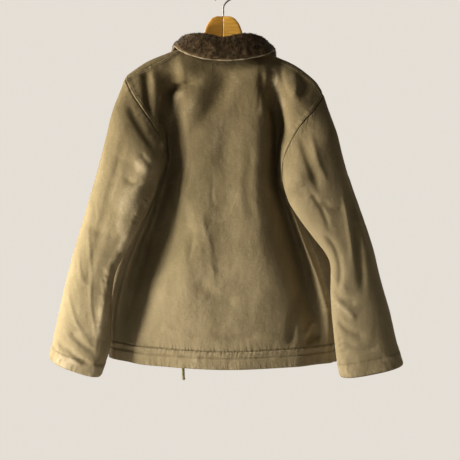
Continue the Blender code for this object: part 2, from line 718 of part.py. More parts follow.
def make_arm(name, side, collection):
    """Half of the wooden hanger, from the joint in its crown to the end of its arm."""
    sections = [arm_section(row[0], side, *row[1:]) for row in CROWN_SECTIONS]
    for share in ARM_STATIONS:
        out = share * ARM_REACH[side]
        sections.append(arm_section(out, side, arm_top(side, out), ARM_HEIGHT, ARM_HALF, 1.0))
    last = ARM_REACH[side]
    top = arm_top(side, last) - 7
    sections.append(arm_section(last + 5, side, top, ARM_HEIGHT - 10, ARM_HALF - 4, 1.0))
    grid = np.array(sections)
    rows, cols = grid.shape[:2]
    faces = []
    for i in range(rows - 1):
        for j in range(cols):
            k = (j + 1) % cols
            faces.append((i * cols + j, i * cols + k, (i + 1) * cols + k, (i + 1) * cols + j))
    faces.append(tuple(range(cols)))
    faces.append(tuple((rows - 1) * cols + j for j in reversed(range(cols))))
    mesh = bpy.data.meshes.new(name)
    mesh.from_pydata((grid.reshape(-1, 3) * MM).tolist(), [], faces)
    work = bmesh.new()
    work.from_mesh(mesh)
    bmesh.ops.recalc_face_normals(work, faces=work.faces[:])
    work.to_mesh(mesh)
    work.free()
    place(name, mesh, "hanger_wood", collection)


def poly_tube(name, points, radius, finish_name, collection):
    """A round wire or cord through points."""
    curve = bpy.data.curves.new(name, "CURVE")
    curve.dimensions = "3D"
    curve.bevel_depth = radius * MM
    curve.bevel_resolution = 2
    curve.use_fill_caps = True
    line = curve.splines.new("POLY")
    line.points.add(len(points) - 1)
    for point, target in zip(points, line.points):
        target.co = (point[0] * MM, point[1] * MM, point[2] * MM, 1.0)
    place(name, curve, finish_name, collection)


def make_hook(collection):
    turn = np.radians(np.linspace(HOOK_START, HOOK_END, HOOK_STEPS))
    ring = [(HOOK_RADIUS * math.cos(a), 0.0, HOOK_CENTRE_Z + HOOK_RADIUS * math.sin(a)) for a in turn]
    stem = [(x, 0.0, z) for x, z in STEM]
    poly_tube("hanger_hook", stem + ring, HOOK_WIRE, "hook_metal", collection)


def make_cord(collection):
    poly_tube("drawcord_end", even_path(CORD_ROUTE, CORD_POINTS), CORD_RADIUS, "cord_cotton", collection)


def build():
    for old in list(bpy.data.objects):
        bpy.data.objects.remove(old)
    collection = bpy.data.collections.new(COLLECTION)
    bpy.context.scene.collection.children.link(collection)

    back = back_grid()
    fronts = {side: front_grid(back, side) for side in (LEFT, RIGHT)}
    sleeves = {side: sleeve_grid(back, fronts[side], side) for side in (LEFT, RIGHT)}
    band = band_grid(back, fronts)
    # Each grid is turned so that its normals point out of the jacket.
    fronts_out = {LEFT: fronts[LEFT][:, ::-1], RIGHT: fronts[RIGHT]}
    sleeves_out = {LEFT: sleeves[LEFT], RIGHT: sleeves[RIGHT][:, ::-1]}
    seams = Seams()
    seams.add(back)
    seams.add(band)
    for side in (LEFT, RIGHT):
        seams.add(fronts_out[side])
        seams.add(sleeves_out[side], closed=True)
    cloth_piece("back", back, seams, collection)
    cloth_piece("front_left", fronts_out[LEFT], seams, collection)
    cloth_piece("front_right", fronts_out[RIGHT], seams, collection)
    cloth_piece("sleeve_left", sleeves_out[LEFT], seams, collection, closed=True)
    cloth_piece("sleeve_right", sleeves_out[RIGHT], seams, collection, closed=True)
    cloth_piece("hem_band", band, seams, collection)
    make_collar(back, fronts, collection)
    flap = make_flap(fronts, collection)
    make_buttons(flap, collection)
    make_arm("hanger_arm_left", LEFT, collection)
    make_arm("hanger_arm_right", RIGHT, collection)
    make_hook(collection)
    make_cord(collection)


build()
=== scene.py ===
"""Deck jacket on a wooden hanger: the cloth, pile, sewing, wood and wire of its look.

The jacket's back faces +Y, its left sleeve is at +X and it hangs from the origin. Tables are in
millimetres. The cloth pieces come from nearly the same sections as the solids, with a finer mesh,
and get their creases, seams and unevenness here. Pieces that are sewn together share their seam's
points.
"""

import math

import bpy
import numpy as np
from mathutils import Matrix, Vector


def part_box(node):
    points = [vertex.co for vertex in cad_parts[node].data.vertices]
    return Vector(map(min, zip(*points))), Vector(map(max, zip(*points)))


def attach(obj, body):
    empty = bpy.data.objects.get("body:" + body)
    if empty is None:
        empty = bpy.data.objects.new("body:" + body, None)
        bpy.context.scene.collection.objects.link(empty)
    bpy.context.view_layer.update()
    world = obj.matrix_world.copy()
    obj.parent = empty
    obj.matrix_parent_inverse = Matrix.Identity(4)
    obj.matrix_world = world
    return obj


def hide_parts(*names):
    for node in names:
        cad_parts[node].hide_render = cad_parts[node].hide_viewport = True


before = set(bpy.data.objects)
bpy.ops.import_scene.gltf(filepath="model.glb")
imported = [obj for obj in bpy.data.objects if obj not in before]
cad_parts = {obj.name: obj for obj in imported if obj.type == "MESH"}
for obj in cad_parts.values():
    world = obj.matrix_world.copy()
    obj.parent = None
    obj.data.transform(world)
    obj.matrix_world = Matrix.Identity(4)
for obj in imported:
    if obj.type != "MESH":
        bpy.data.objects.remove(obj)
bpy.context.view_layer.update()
bpy.ops.object.select_all(action="DESELECT")

MM = 0.001
FINE = 7     # mesh steps for each step of the solids
TUFTS = 9000

CLOTH = 2.2
ARMPIT_CLOTH = 1.0      # thickness where the walls meet in an armpit
ARMPIT_REACH = 85.0     # over this distance from an armpit the cloth gets its full thickness
ARMPIT_CALM = 40.0      # and over this one the creases and seams their full height
SEAM_GAP = 0.3
FAR = 200.0             # further than any seam's gathers reach
BAND_HEIGHT = 38.0
BAND_BULGE = 1.5
FLAP_WIDTH = 58.0
FLAP_CLOTH = 1.6
FLAP_STITCHES = 6.0     # from the flap's edge
RIDGE_RADIUS = 17.0     # of the cloth over a hanger arm
CORD_RADIUS = 3.0
FRAY_HAIRS = 70
HOOK_WIRE = 2.0         # radius
BUTTON_RADIUS, BUTTON_THICK = 9.8, 2.4
BUTTON_COUNT, BUTTON_RIM, BUTTON_DISH = 5, 1.6, 0.9
THREAD_RADIUS, THREAD_REACH, THREAD_ROOT, THREAD_RISE = 0.55, 2.2, 1.4, 1.1
STITCH_PITCH, STITCH_SHARE = 3.4, 0.68     # a stitch takes up this share of its pitch
STITCH_HALF, STITCH_HIGH, STITCH_SINK = 0.42, 0.5, 0.25
TACK_PITCH = 1.8        # of the close stitches in the two bars under the collar
TACK_OUTS, TACK_HEIGHTS = (14.0, 23.0), (-175, -158)

LOW_ROWS = 12 * FINE
HIGH_ROWS = 12 * FINE
TOP_ROWS = 5 * FINE
BACK_COLS = 24 * FINE
SHOULDER_COLS = 7 * FINE
FRONT_COLS = 14 * FINE
SLEEVE_ROWS = 18 * FINE
BAND_ROWS = 3 * FINE
COLLAR_COLS = 28 * FINE

LEFT, RIGHT = 1, -1
NECK_HALF = 82.0
NECK_BACK = (0.0, 33.0, -139.0)
NECK_FRONT = (0.0, -62.0, -206.0)
FRONT_EDGE = 0.5
NECK_TOP = 34.0
NECK_LINE = (
    # x, y, drop from the shoulder seam
    (81.5, -1, 4), (79.5, -12, 10), (75, -23, 19), (66, -37, 33), (51, -50, 50), (29, -59, 68),
)
NECK_SPLAY = 16.0

BACK_KNOTS = (0.0, 0.08, 0.18, 7 / 24)
SHOULDER_OUTS = (160.0, 116.0)     # knots of the shoulder seam between the tip and the neck
HEIGHT_SHARE = (0.0, 0.1, 0.3, 0.6)

# Back panel, one row for each section from the waist seam up.
BACK_LEFT = (
    # z_edge, edge_x, edge_y, ridge_x, ridge_y, valley_x, valley_y, crest_x, crest_y
    (-745, 240, -8, 230, 10, 204, 16, 158, 38),
    (-690, 240, -8, 226, 16, 200, 4, 143, 42),
    (-640, 232, -6, 216, 20, 190, -2, 128, 46),
    (-590, 218, -2, 202, 22, 178, -8, 113, 50),
    (-540, 196, 2, 182, 26, 163, -12, 100, 53),
    (-488, 174, 6, 159, 28, 146, -14, 90, 54),
    (-430, 155, 6, 140, 22, 128, -10, 86, 55),
    (-364, 126, 36, 119, 17, 112, -6, 76, 55),
    (-346, 125, 46, 119, 28, 112, 0, 73, 54),
    (-322, 129, 56, 123, 41, 114, 10, 72, 53),
    (-298, 143, 64, 131, 53, 114, 20, 73, 53),
    (-274, 159, 68, 140, 59, 114, 28, 76, 52),
    (-252, 174, 68, 148, 60, 112, 36, 80, 51),
    (-228, 190, 62, 156, 56, 112, 42, 83, 48),
)
BACK_RIGHT = (
    (-754, 234, -8, 226, 12, 196, 20, 150, 42),
    (-691, 232, -6, 220, 22, 186, 4, 146, 45),
    (-647, 224, -2, 208, 27, 178, -6, 134, 48),
    (-596, 208, 2, 192, 29, 171, -12, 120, 51),
    (-538, 186, 2, 170, 30, 156, -14, 104, 54),
    (-487, 165, 8, 151, 31, 139, -12, 92, 55),
    (-445, 151, 9, 135, 23, 124, -8, 86, 56),
    (-410, 125, 36, 117, 17, 111, -8, 83, 56),
    (-392, 124, 46, 117, 28, 111, -4, 83, 56),
    (-366, 125, 55, 120, 39, 112, 0, 84, 56),
    (-338, 136, 62, 127, 48, 113, 6, 85, 55),
    (-308, 152, 70, 134, 58, 112, 16, 86, 54),
    (-284, 170, 74, 142, 66, 110, 30, 84, 53),
    (-262, 190, 70, 150, 64, 109, 42, 83, 50),
)
BACK_MIDDLE = (
    # depth and height on the centre line
    (52, -768), (55, -716), (56, -664), (57, -612), (58, -560), (58, -506), (58, -452),
    (57, -398), (56, -362), (55, -326), (53, -290), (51, -254), (47, -218), (40, -180),
)
ARMPIT_ROW = 7

RIDGE_LEFT = ((60, -122), (82, -127), (104, -134), (154, -155), (186, -175), (204, -190), (217, -206))
RIDGE_RIGHT = ((60, -126), (82, -132), (110, -146), (150, -165), (193, -199), (207, -220), (215, -239))
SEAM_ANGLE = {
    LEFT: ((82, 5), (104, 50), (125, 68), (160, 80), (182, 62), (205, 50)),
    RIGHT: ((82, 5), (110, 34), (160, 42), (185, 42), (210, 42)),
}
FRONT_ANGLE = -75.0
TIP_OUT = {LEFT: 205.0, RIGHT: 210.0}
TIP_DEPTH = 50.0
ARM_BEND_DEPTH, ARM_BEND_REACH, ARM_BEND_POWER = 38.0, 215.0, 1.4

FRONT_LOW = (
    # roll_x, roll_y, mid_x, mid_y, edge_y, edge_z
    (231, -36, 118, -52, -56, -770),
    (237, -40, 120, -57, -60, -718),
    (235, -44, 120, -60, -63, -666),
    (230, -46, 119, -62, -65, -614),
    (222, -46, 118, -63, -67, -560),
    (206, -48, 117, -63, -68, -508),
    (185, -50, 116, -62, -68, -455),
    (163, -46, 113, -60, -68, -400),
)
FRONT_HIGH = {
    LEFT: (
        # arm_x, arm_y, arm_z, roll_x, roll_y, roll_z, mid_x, mid_y, mid_z, edge_y, edge_z
        (158, -20, -300, 148, -42, -310, 110, -56, -325, -68, -345),
        (184, -10, -244, 160, -32, -252, 104, -44, -268, -66, -282),
    ),
    RIGHT: (
        (158, -20, -342, 148, -42, -342, 110, -56, -340, -68, -345),
        (186, -10, -280, 160, -32, -276, 104, -44, -274, -66, -282),
    ),
}
FRONT_KNOTS = (0.0, 0.25, 0.5, 1.0)

# Sleeves, one row for each ring below the armhole.
SLEEVE = {
    LEFT: (
        # outer_x, outer_z, inner_x, inner_z, mid_y, half_y, dip
        (231, -262, 130, -386, 52, 33, 0),
        (248, -328, 139, -428, 52, 33, 0),
        (265, -394, 158, -474, 50, 34, 0),
        (284, -458, 184, -524, 47, 34, 2),
        (303, -522, 221, -590, 45, 33, 4),
        (322, -590, 233, -648, 42, 33, 4),
        (340, -664, 235, -710, 39, 34, 6),
        (356, -733, 239, -766, 36, 35, 10),
        (365, -778, 256, -815, 34, 35, 13),
    ),
    RIGHT: (
        (231, -290, 129, -430, 52, 33, 0),
        (247, -345, 140, -458, 52, 33, 0),
        (264, -402, 162, -492, 50, 34, 0),
        (285, -462, 193, -532, 47, 34, 2),
        (305, -520, 223, -578, 45, 33, 4),
        (326, -596, 226, -648, 42, 33, 4),
        (346, -672, 230, -712, 39, 34, 4),
        (364, -742, 236, -770, 36, 34, 6),
        (378, -792, 246, -818, 34, 34, 10),
    ),
}
SECTION_POWER = 0.8

# Collar, one row for each station from the middle of the back to the front end.
COLLAR = {
    LEFT: (
        # share, roll_x, roll_y, roll_z, fall_x, fall_y, fall_z
        (0.0, 0, 42, -112, 0, 60, -157),
        (0.15, 34, 40, -105, 38, 58, -154),
        (0.25, 58, 34, -103, 70, 53, -145),
        (0.32, 76, 21, -105, 93, 42, -134),
        (0.39, 85, 4, -109, 103, 14, -125),
        (0.55, 84, -18, -124, 108, -20, -156),
        (0.78, 62, -48, -152, 88, -52, -198),
        (1.0, 24, -74, -186, 44, -80, -238),
    ),
    RIGHT: (
        (0.0, 0, 42, -112, 0, 60, -157),
        (0.15, 34, 40, -105, 38, 58, -155),
        (0.25, 59, 34, -104, 72, 53, -149),
        (0.32, 77, 21, -109, 96, 44, -142),
        (0.39, 86, 4, -114, 107, 16, -134),
        (0.55, 85, -18, -128, 109, -20, -162),
        (0.78, 62, -48, -154, 88, -52, -200),
        (1.0, 24, -74, -186, 44, -80, -238),
    ),
}
COLLAR_END = 12.0
COLLAR_PILE = 4.6
PILE_FOOT = 2.2
COLLAR_SHELL = 1.8
STAND_FOOT = 6.0
ROLL_RADIUS = 6.0

CROWN_SECTIONS = (
    # distance, top, height, half thickness, how square
    (0.04, -60, 72, 8.0, 0.5),
    (14, -60, 72, 8.0, 0.5),
    (24, -64, 66, 8.0, 0.5),
    (34, -76, 54, 8.5, 0.6),
    (40, -92, 42, 9.0, 0.7),
    (44, -107, 33, 9.0, 0.8),
    (52, -122, 29, 8.5, 0.9),
    (63, -133, 25, 8.5, 1.0),
    (80, -138, 24, 9.0, 1.0),
)
ARM_STATIONS = (0.52, 0.66, 0.8, 0.9, 1.0)
ARM_REACH = {LEFT: 182.0, RIGHT: 172.0}
ARM_HALF = 9.5
ARM_HEIGHT = 25.0
ARM_TOP_GAP = 1.2
SOLID_CLOTH = 3.0
ARM_SIDES = 40
ARM_TIP = ((2, 1.2, 0.92), (4, 3.2, 0.76), (5, 5.5, 0.5))   # step out, drop, share of the section

STEM = ((0, -61.7), (0, -52), (0, -43), (-1.4, -37.5), (-6, -31), (-14, -25))
HOOK_CENTRE_Z = -17.0
HOOK_RADIUS = 19.0
HOOK_START, HOOK_END, HOOK_STEPS = 200.0, -31.0, 60

CORD_ROUTE = ((84, 43, -776), (84, 40, -784), (84.3, 38.8, -794), (84, 39, -808), (83.4, 40, -826))

# Creases: what they lie on, height of the crease (below 0 it is a trough), half width, and its
# route over the face that the photo shows, as distance from the centre line and height.
CREASES = (
    ("back", -9, 9, ((163, -176), (160, -205), (157, -232), (151, -275))),
    ("back", 2.6, 11, ((151, -176), (143, -205), (134, -235), (127, -262))),
    ("back", -11, 7, ((54, -203), (72, -206), (90, -211), (108, -218), (118, -233), (125, -262),
                      (127, -290))),
    ("back", 3.5, 9, ((74, -224), (95, -231), (104, -252), (108, -290))),
    ("back", -4, 7, ((126, -275), (129, -323), (131, -376), (143, -439))),
    ("back", -4, 9, ((154, -491), (175, -584), (196, -659), (208, -718))),
    ("back", -5.5, 11, ((-84, -162), (-84, -190), (-86, -214), (-100, -250), (-115, -277), (-128, -334))),
    ("back", 1.2, 12, ((-104, -160), (-106, -200), (-118, -232), (-132, -262))),
    ("back", -3.4, 16, ((-18, -181), (3, -214), (21, -250), (49, -290), (78, -335))),
    ("back", 1.8, 17, ((-48, -176), (-28, -214), (-8, -262), (10, -310), (30, -380))),
    ("back", 1.8, 15, ((14, -172), (40, -205), (64, -245), (90, -285))),
    ("back", -2.5, 6, ((-118, -162), (-121, -182), (-128, -212), (-142, -242))),
    ("back", -3.4, 12, ((-160, -178), (-172, -205), (-163, -243))),
    ("back", 2, 7, ((-146, -180), (-152, -205), (-150, -236))),
    ("back", -2.4, 10, ((146, -181), (118, -190), (84, -196), (60, -190))),
    ("back", -2.5, 8, ((24, -731), (-25, -739), (-77, -735))),
    ("back", 1.5, 9, ((130, -712), (96, -728), (60, -736))),
    ("back", -1.8, 14, ((60, -620), (20, -650), (-30, -664))),
    ("back", -1.6, 12, ((96, -440), (70, -520), (64, -600))),
    ("back", 1.2, 6, ((44, -480), (30, -545), (18, -620))),
    ("back", -1.5, 10, ((-60, -330), (-52, -420), (-60, -500))),
    ("back", 3, 8, ((-174, -502), (-191, -554), (-203, -596), (-220, -659), (-231, -712))),
    ("back", -7, 9, ((-160, -640), (-150, -690), (-144, -735), (-140, -755))),
    ("back", 5, 6, ((-196, -706), (-182, -718), (-172, -740))),
    ("back", -5, 6, ((-206, -735), (-190, -738), (-176, -752))),
    ("back", -5.5, 32, ((60, -330), (62, -400), (82, -480), (110, -560), (140, -640))),
    ("sleeve_left", 5, 20, ((152, -350), (168, -400), (192, -460), (216, -530))),
    ("sleeve_left", 4, 10, ((139, -428), (181, -481), (206, -544), (236, -596), (247, -659), (262, -754))),
    ("sleeve_left", -4, 6, ((349, -743), (313, -773), (280, -796))),
    ("sleeve_left", -3, 5, ((322, -722), (290, -754), (266, -770))),
    ("sleeve_left", 1.6, 4, ((338, -752), (306, -786), (270, -806))),
    ("sleeve_left", -1.6, 8, ((292, -496), (259, -517), (221, -525))),
    ("sleeve_left", -1.6, 9, ((200, -302), (234, -428), (267, -554), (292, -659))),
    ("sleeve_left", 1.1, 3.5, ((280, -480), (280, -530), (275, -600), (276, -670), (262, -754))),
    ("sleeve_left", 1.5, 3.5, ((324, -642), (307, -706), (276, -754))),
    ("sleeve_left", 1.3, 3.5, ((300, -560), (296, -610), (270, -640))),
    ("sleeve_left", -4, 6, ((198, -252), (185, -278), (164, -313), (140, -349))),
    ("sleeve_left", -2, 5, ((172, -352), (160, -368), (146, -384))),
    ("sleeve_left", 0.9, 7, ((190, -350), (170, -380), (152, -392))),
    ("sleeve_left", -2.5, 5, ((204, -404), (186, -416), (168, -412))),
    ("sleeve_right", -4.5, 8, ((-264, -428), (-277, -502), (-285, -575), (-291, -643))),
    ("sleeve_right", 1.8, 5, ((-250, -440), (-262, -510), (-272, -590))),
    ("sleeve_right", -4, 6, ((-229, -640), (-250, -657), (-279, -664))),
    ("sleeve_right", 3, 6, ((-236, -662), (-258, -680), (-276, -700))),
    ("sleeve_right", -4, 6, ((-236, -700), (-262, -722), (-296, -735))),
    ("sleeve_right", -2, 5, ((-250, -750), (-290, -762), (-330, -752))),
    ("sleeve_right", -3.5, 7, ((-160, -318), (-176, -365), (-199, -428))),
    ("sleeve_right", 2, 6, ((-182, -310), (-196, -365), (-216, -412))),
    ("sleeve_right", -3, 8, ((-256, -365), (-291, -481), (-325, -596))),
    ("sleeve_right", 1.4, 4, ((-236, -282), (-262, -370), (-300, -480), (-330, -590))),
    ("sleeve_right", -2, 6, ((-204, -450), (-226, -470), (-250, -468))),
    ("sleeve_right", -3, 6, ((-210, -520), (-232, -548), (-244, -596), (-240, -640))),
    ("sleeve_right", 2, 5, ((-222, -600), (-240, -625), (-262, -640))),
    ("sleeve_right", -2, 5, ((-180, -430), (-206, -470), (-222, -510))),
)
# The same over the face that the photo hides, laid as the cloth of the shown face falls.
HIDDEN_CREASES = (
    ("front_left", -4, 10, ((168, -212), (146, -262), (126, -322), (112, -380))),
    ("front_left", 2.5, 9, ((150, -212), (128, -262), (106, -318))),
    ("front_left", -3.5, 9, ((160, -330), (142, -380), (136, -450), (146, -520))),
    ("front_left", -2.6, 14, ((66, -262), (84, -330), (112, -392))),
    ("front_left", -3.6, 11, ((196, -540), (188, -620), (196, -700), (190, -750))),
    ("front_left", 2.4, 10, ((168, -520), (160, -610), (168, -700))),
    ("front_left", -2.2, 14, ((60, -600), (88, -660), (70, -745))),
    ("front_left", 1.8, 12, ((120, -500), (112, -600), (128, -700))),
    ("front_right", -4, 10, ((-150, -218), (-132, -270), (-118, -340))),
    ("front_right", 2.4, 9, ((-172, -236), (-152, -290), (-136, -350))),
    ("front_right", -3.2, 10, ((-176, -330), (-152, -400), (-142, -480))),
    ("front_right", -2.6, 13, ((-58, -270), (-86, -350), (-98, -420))),
    ("front_right", -3.8, 10, ((-186, -560), (-176, -640), (-188, -740))),
    ("front_right", 2.6, 9, ((-152, -540), (-146, -630), (-160, -720))),
    ("front_right", -2, 14, ((-96, -560), (-70, -640), (-84, -740))),
    ("sleeve_left", -3.6, 8, ((170, -362), (196, -392), (224, -392))),
    ("sleeve_left", -3, 7, ((176, -440), (208, -456), (240, -446))),
    ("sleeve_left", 2, 7, ((190, -410), (216, -424), (242, -418))),
    ("sleeve_left", -3, 8, ((214, -556), (254, -548), (296, -566))),
    ("sleeve_left", -2.4, 8, ((244, -300), (262, -420), (290, -540), (314, -650))),
    ("sleeve_left", -3, 6, ((262, -742), (300, -768), (342, -760))),
    ("sleeve_right", -3.6, 8, ((-160, -392), (-190, -412), (-222, -404))),
    ("sleeve_right", -3, 7, ((-190, -470), (-222, -480), (-250, -468))),
    ("sleeve_right", -3, 8, ((-230, -580), (-262, -566), (-306, -584))),
    ("sleeve_right", -2.6, 8, ((-236, -320), (-262, -430), (-296, -560), (-330, -680))),
    ("sleeve_right", -3, 6, ((-252, -752), (-300, -782), (-350, -764))),
)
# Rows of short puckers across a line: what they lie on, height, spacing, reach to each side and
# the line's route.
PUCKERS = (
    ("sleeve_left", 2.6, 17, 10, ((139, -428), (181, -481), (206, -544), (238, -596), (247, -659),
                                  (262, -754))),
    ("sleeve_left", 2.0, 13, 8, ((186, -240), (166, -276), (142, -320))),
    ("sleeve_right", 2.8, 17, 12, ((-226, -640), (-236, -722), (-250, -764), (-262, -796))),
    ("sleeve_right", 2.0, 13, 9, ((-150, -360), (-164, -410), (-190, -466))),
    ("back", 2.6, 14, 11, ((-203, -609), (-216, -661), (-228, -730))),
    ("back", 2.6, 14, 9, ((-119, -416), (-140, -455), (-157, -479))),
    ("back", 1.6, 16, 10, ((228, -640), (234, -690), (236, -735))),
    ("back", 2.2, 15, 9, ((205, -206), (186, -236), (166, -270), (148, -296))),
)

# Where each light stands, in metres from the jacket's middle, with its size, power and colour.
LIGHTS = (
    ("key", (1.4, 0.45, -0.32), 0.48, 46, (1.0, 0.95, 0.86)),
    ("upper", (1.15, 0.5, 0.7), 0.4, 20, (1.0, 0.94, 0.84)),
    ("front", (0.8, -3.0, 1.2), 2.0, 60, (1.0, 0.98, 0.95)),
)
JACKET_MIDDLE = Vector((0, 0, -0.45))
CAMERA_PLACE = (-0.0143, 5.045, -0.5124)
CAMERA_LENS, CAMERA_SENSOR, CAMERA_END = 186.6, 36.0, 60.0
FLOOR_SIZE, FLOOR_HEIGHT = 5.0, -1.45
FLOOR_PALE, FLOOR_DULL = (0.62, 0.6, 0.57), (0.57, 0.552, 0.524)
WALL_PALE, ROOM_DARK = (0.78, 0.735, 0.67, 1), (0.075, 0.069, 0.06, 1)


def spline(knots, values, at):
    """A smooth curve through values at knots, read at each number in at."""
    knots = np.asarray(knots, float)
    values = np.asarray(values, float)
    at = np.atleast_1d(np.asarray(at, float))
    slopes = np.empty_like(values)
    slopes[1:-1] = (values[2:] - values[:-2]) / (knots[2:] - knots[:-2])[:, None]
    slopes[0] = (values[1] - values[0]) / (knots[1] - knots[0])
    slopes[-1] = (values[-1] - values[-2]) / (knots[-1] - knots[-2])
    cell = np.clip(np.searchsorted(knots, at, side="right") - 1, 0, len(knots) - 2)
    span = knots[cell + 1] - knots[cell]
    t = ((at - knots[cell]) / span)[:, None]
    span = span[:, None]
    start = (2 * t**3 - 3 * t**2 + 1) * values[cell] + (t**3 - 2 * t**2 + t) * span * slopes[cell]
    end = (3 * t**2 - 2 * t**3) * values[cell + 1] + (t**3 - t**2) * span * slopes[cell + 1]
    return start + end


def lengths(points):
    """Length along a line of points, up to each of them."""
    return np.concatenate(([0], np.cumsum(np.linalg.norm(np.diff(points, axis=0), axis=1))))


def read_at(line, run, at):
    """Points of a line at lengths along it."""
    return np.stack([np.interp(at, run, line[:, axis]) for axis in range(3)], axis=1)


def even_path(points, count):
    """count + 1 points at equal steps along a smooth curve through points."""
    points = np.asarray(points, float)
    run = lengths(points)
    fine = spline(run, points, np.linspace(0, run[-1], 400))
    run = lengths(fine)
    return read_at(fine, run, np.linspace(0, run[-1], count + 1))


def rows_along(points, top):
    """Points along a path from the armpit's height up, closer together over its last stretch."""
    fine = even_path(points, 300)
    run = lengths(fine)
    turn = run[-1] - top
    at = np.concatenate([np.linspace(0, turn, HIGH_ROWS - TOP_ROWS + 1),
                         np.linspace(turn, run[-1], TOP_ROWS + 1)[1:]])
    return read_at(fine, run, at)


def ridge_height(side, out):
    """Height of the shoulder's ridge at a distance from the centre line."""
    table = np.array(RIDGE_LEFT if side == LEFT else RIDGE_RIGHT, float)
    return float(spline(table[:, 0], table[:, 1:], [out])[0, 0])


def arm_depth(out):
    """How far a hanger arm bends towards the back at a distance from the centre line."""
    return ARM_BEND_DEPTH * (out / ARM_BEND_REACH) ** ARM_BEND_POWER


def seam_angle(side, out):
    """How far behind the ridge the shoulder seam runs, in degrees round the hanger arm."""
    table = np.array(SEAM_ANGLE[side], float)
    return float(np.interp(out, table[:, 0], table[:, 1]))


def over_arm(side, out, degrees):
    """A point of the cloth over a hanger arm, by its angle from the top towards the back."""
    angle = math.radians(degrees)
    depth = arm_depth(out) + RIDGE_RADIUS * math.sin(angle)
    return side * out, depth, ridge_height(side, out) - RIDGE_RADIUS * (1 - math.cos(angle))


def half_back_rows(side):
    """Knots of each section across one half of the back, from the waist seam to the shoulder."""
    table = np.array(BACK_LEFT if side == LEFT else BACK_RIGHT, float)
    rows = []
    for row, (mid_y, mid_z) in zip(table, BACK_MIDDLE):
        rise = mid_z - row[0]
        rows.append([(side * row[1 + 2 * k], row[2 + 2 * k], row[0] + share * rise)
                     for k, share in enumerate(HEIGHT_SHARE)])
    outs = (TIP_OUT[side], *SHOULDER_OUTS, NECK_HALF)
    rows.append([over_arm(side, out, seam_angle(side, out)) for out in outs])
    rows = np.array(rows)
    rows[-1, 0, 1] = TIP_DEPTH
    first, last = ARMPIT_ROW, len(rows) - 1
    for i in range(first + 1, last):
        t = (i - first) / (last - first)
        for k, share in enumerate(HEIGHT_SHARE[1:], 1):
            straight = (1 - t) * rows[first, k, 2] + t * rows[last, k, 2]
            edge_bow = rows[i, 0, 2] - (1 - t) * rows[first, 0, 2] - t * rows[last, 0, 2]
            rows[i, k, 2] = straight + (1 - share) * edge_bow
    return rows


def back_grid():
    """The back panel: rows from the waist seam up, columns from the left edge to the right."""
    left, right = half_back_rows(LEFT), half_back_rows(RIGHT)
    middle = [(0.0, y, z) for y, z in BACK_MIDDLE] + [NECK_BACK]
    knots = list(BACK_KNOTS) + [0.5] + [1 - k for k in reversed(BACK_KNOTS)]
    columns = np.linspace(0, 1, BACK_COLS + 1)
    sections = []
    for a, mid, b in zip(left, middle, right):
        sections.append(spline(knots, np.vstack([a, [mid], b[::-1]]), columns))
    sections = np.array(sections)
    low = np.linspace(0, ARMPIT_ROW, LOW_ROWS + 1)
    high = np.linspace(ARMPIT_ROW, len(sections) - 1, HIGH_ROWS + 1)[1:]
    for j in range(SHOULDER_COLS + 1):
        for side, column in ((LEFT, j), (RIGHT, BACK_COLS - j)):
            out = abs(sections[-1, column, 0])
            depth = sections[-1, column, 1]
            sections[-1, column] = over_arm(side, out, seam_angle(side, out))
            if j == 0:
                sections[-1, column, 1] = depth
    flat = sections.reshape(len(sections), -1)
    grid = spline(np.arange(len(sections)), flat, np.concatenate([low, high]))
    return grid.reshape(-1, BACK_COLS + 1, 3)


def side_columns(back, side):
    """The back's columns counted from one side's edge."""
    return back if side == LEFT else back[:, ::-1]


def front_grid(back, side):
    """A front panel: rows from the waist seam up, columns from the back's edge to the middle."""
    edge = side_columns(back, side)
    columns = np.linspace(0, 1, FRONT_COLS + 1)
    table = spline(np.arange(len(FRONT_LOW)), np.array(FRONT_LOW, float),
                   np.linspace(0, ARMPIT_ROW, LOW_ROWS + 1))
    low = []
    for i, (roll_x, roll_y, mid_x, mid_y, edge_y, edge_z) in enumerate(table):
        start = edge[i, 0]
        knots = [start, (side * roll_x, roll_y, start[2] + 0.1 * (edge_z - start[2])),
                 (side * mid_x, mid_y, start[2] + 0.6 * (edge_z - start[2])),
                 (side * FRONT_EDGE, edge_y, edge_z)]
        low.append(spline(FRONT_KNOTS, knots, columns))
    low = np.array(low)
    chest = []
    for row in FRONT_HIGH[side]:
        knots = [(side * row[k], row[k + 1], row[k + 2]) for k in (0, 3, 6)]
        knots.append((side * FRONT_EDGE, row[9], row[10]))
        chest.append(spline(FRONT_KNOTS, knots, columns))
    neck = edge[-1, SHOULDER_COLS]
    neckline = np.array([neck] + [(side * x, y, neck[2] - drop) for x, y, drop in NECK_LINE]
                        + [(side * FRONT_EDGE, *NECK_FRONT[1:])])
    near = np.arange(len(neckline)) * FINE
    neckline = spline(near, neckline, np.arange(FRONT_COLS - SHOULDER_COLS + 1))
    high = []
    for j in range(FRONT_COLS + 1):
        path = [low[-1, j], chest[0][j], chest[1][j]]
        if j <= SHOULDER_COLS:
            seam = edge[-1, j]
            out = abs(seam[0])
            last = seam_angle(side, out)
            splay = NECK_SPLAY * (j / SHOULDER_COLS) ** 3
            for share in np.arange(5) / 5:
                degrees = FRONT_ANGLE + share * (last - FRONT_ANGLE)
                x, y, z = over_arm(side, out, degrees)
                path.append((x + side * splay * (1 - share), y, z - 0.3 * splay * (1 - share)))
            path.append(seam)
            top = RIDGE_RADIUS * math.radians(last - FRONT_ANGLE)
        else:
            end = neckline[j - SHOULDER_COLS]
            steps = max(1.0, (j - SHOULDER_COLS) / FINE)
            path.append(end + (side * 6 / steps, -16 / steps, -14))
            path.append(end)
            top = NECK_TOP
        high.append(rows_along(path, top))
    high = np.array(high).transpose(1, 0, 2)
    return np.vstack([low, high[1:]])


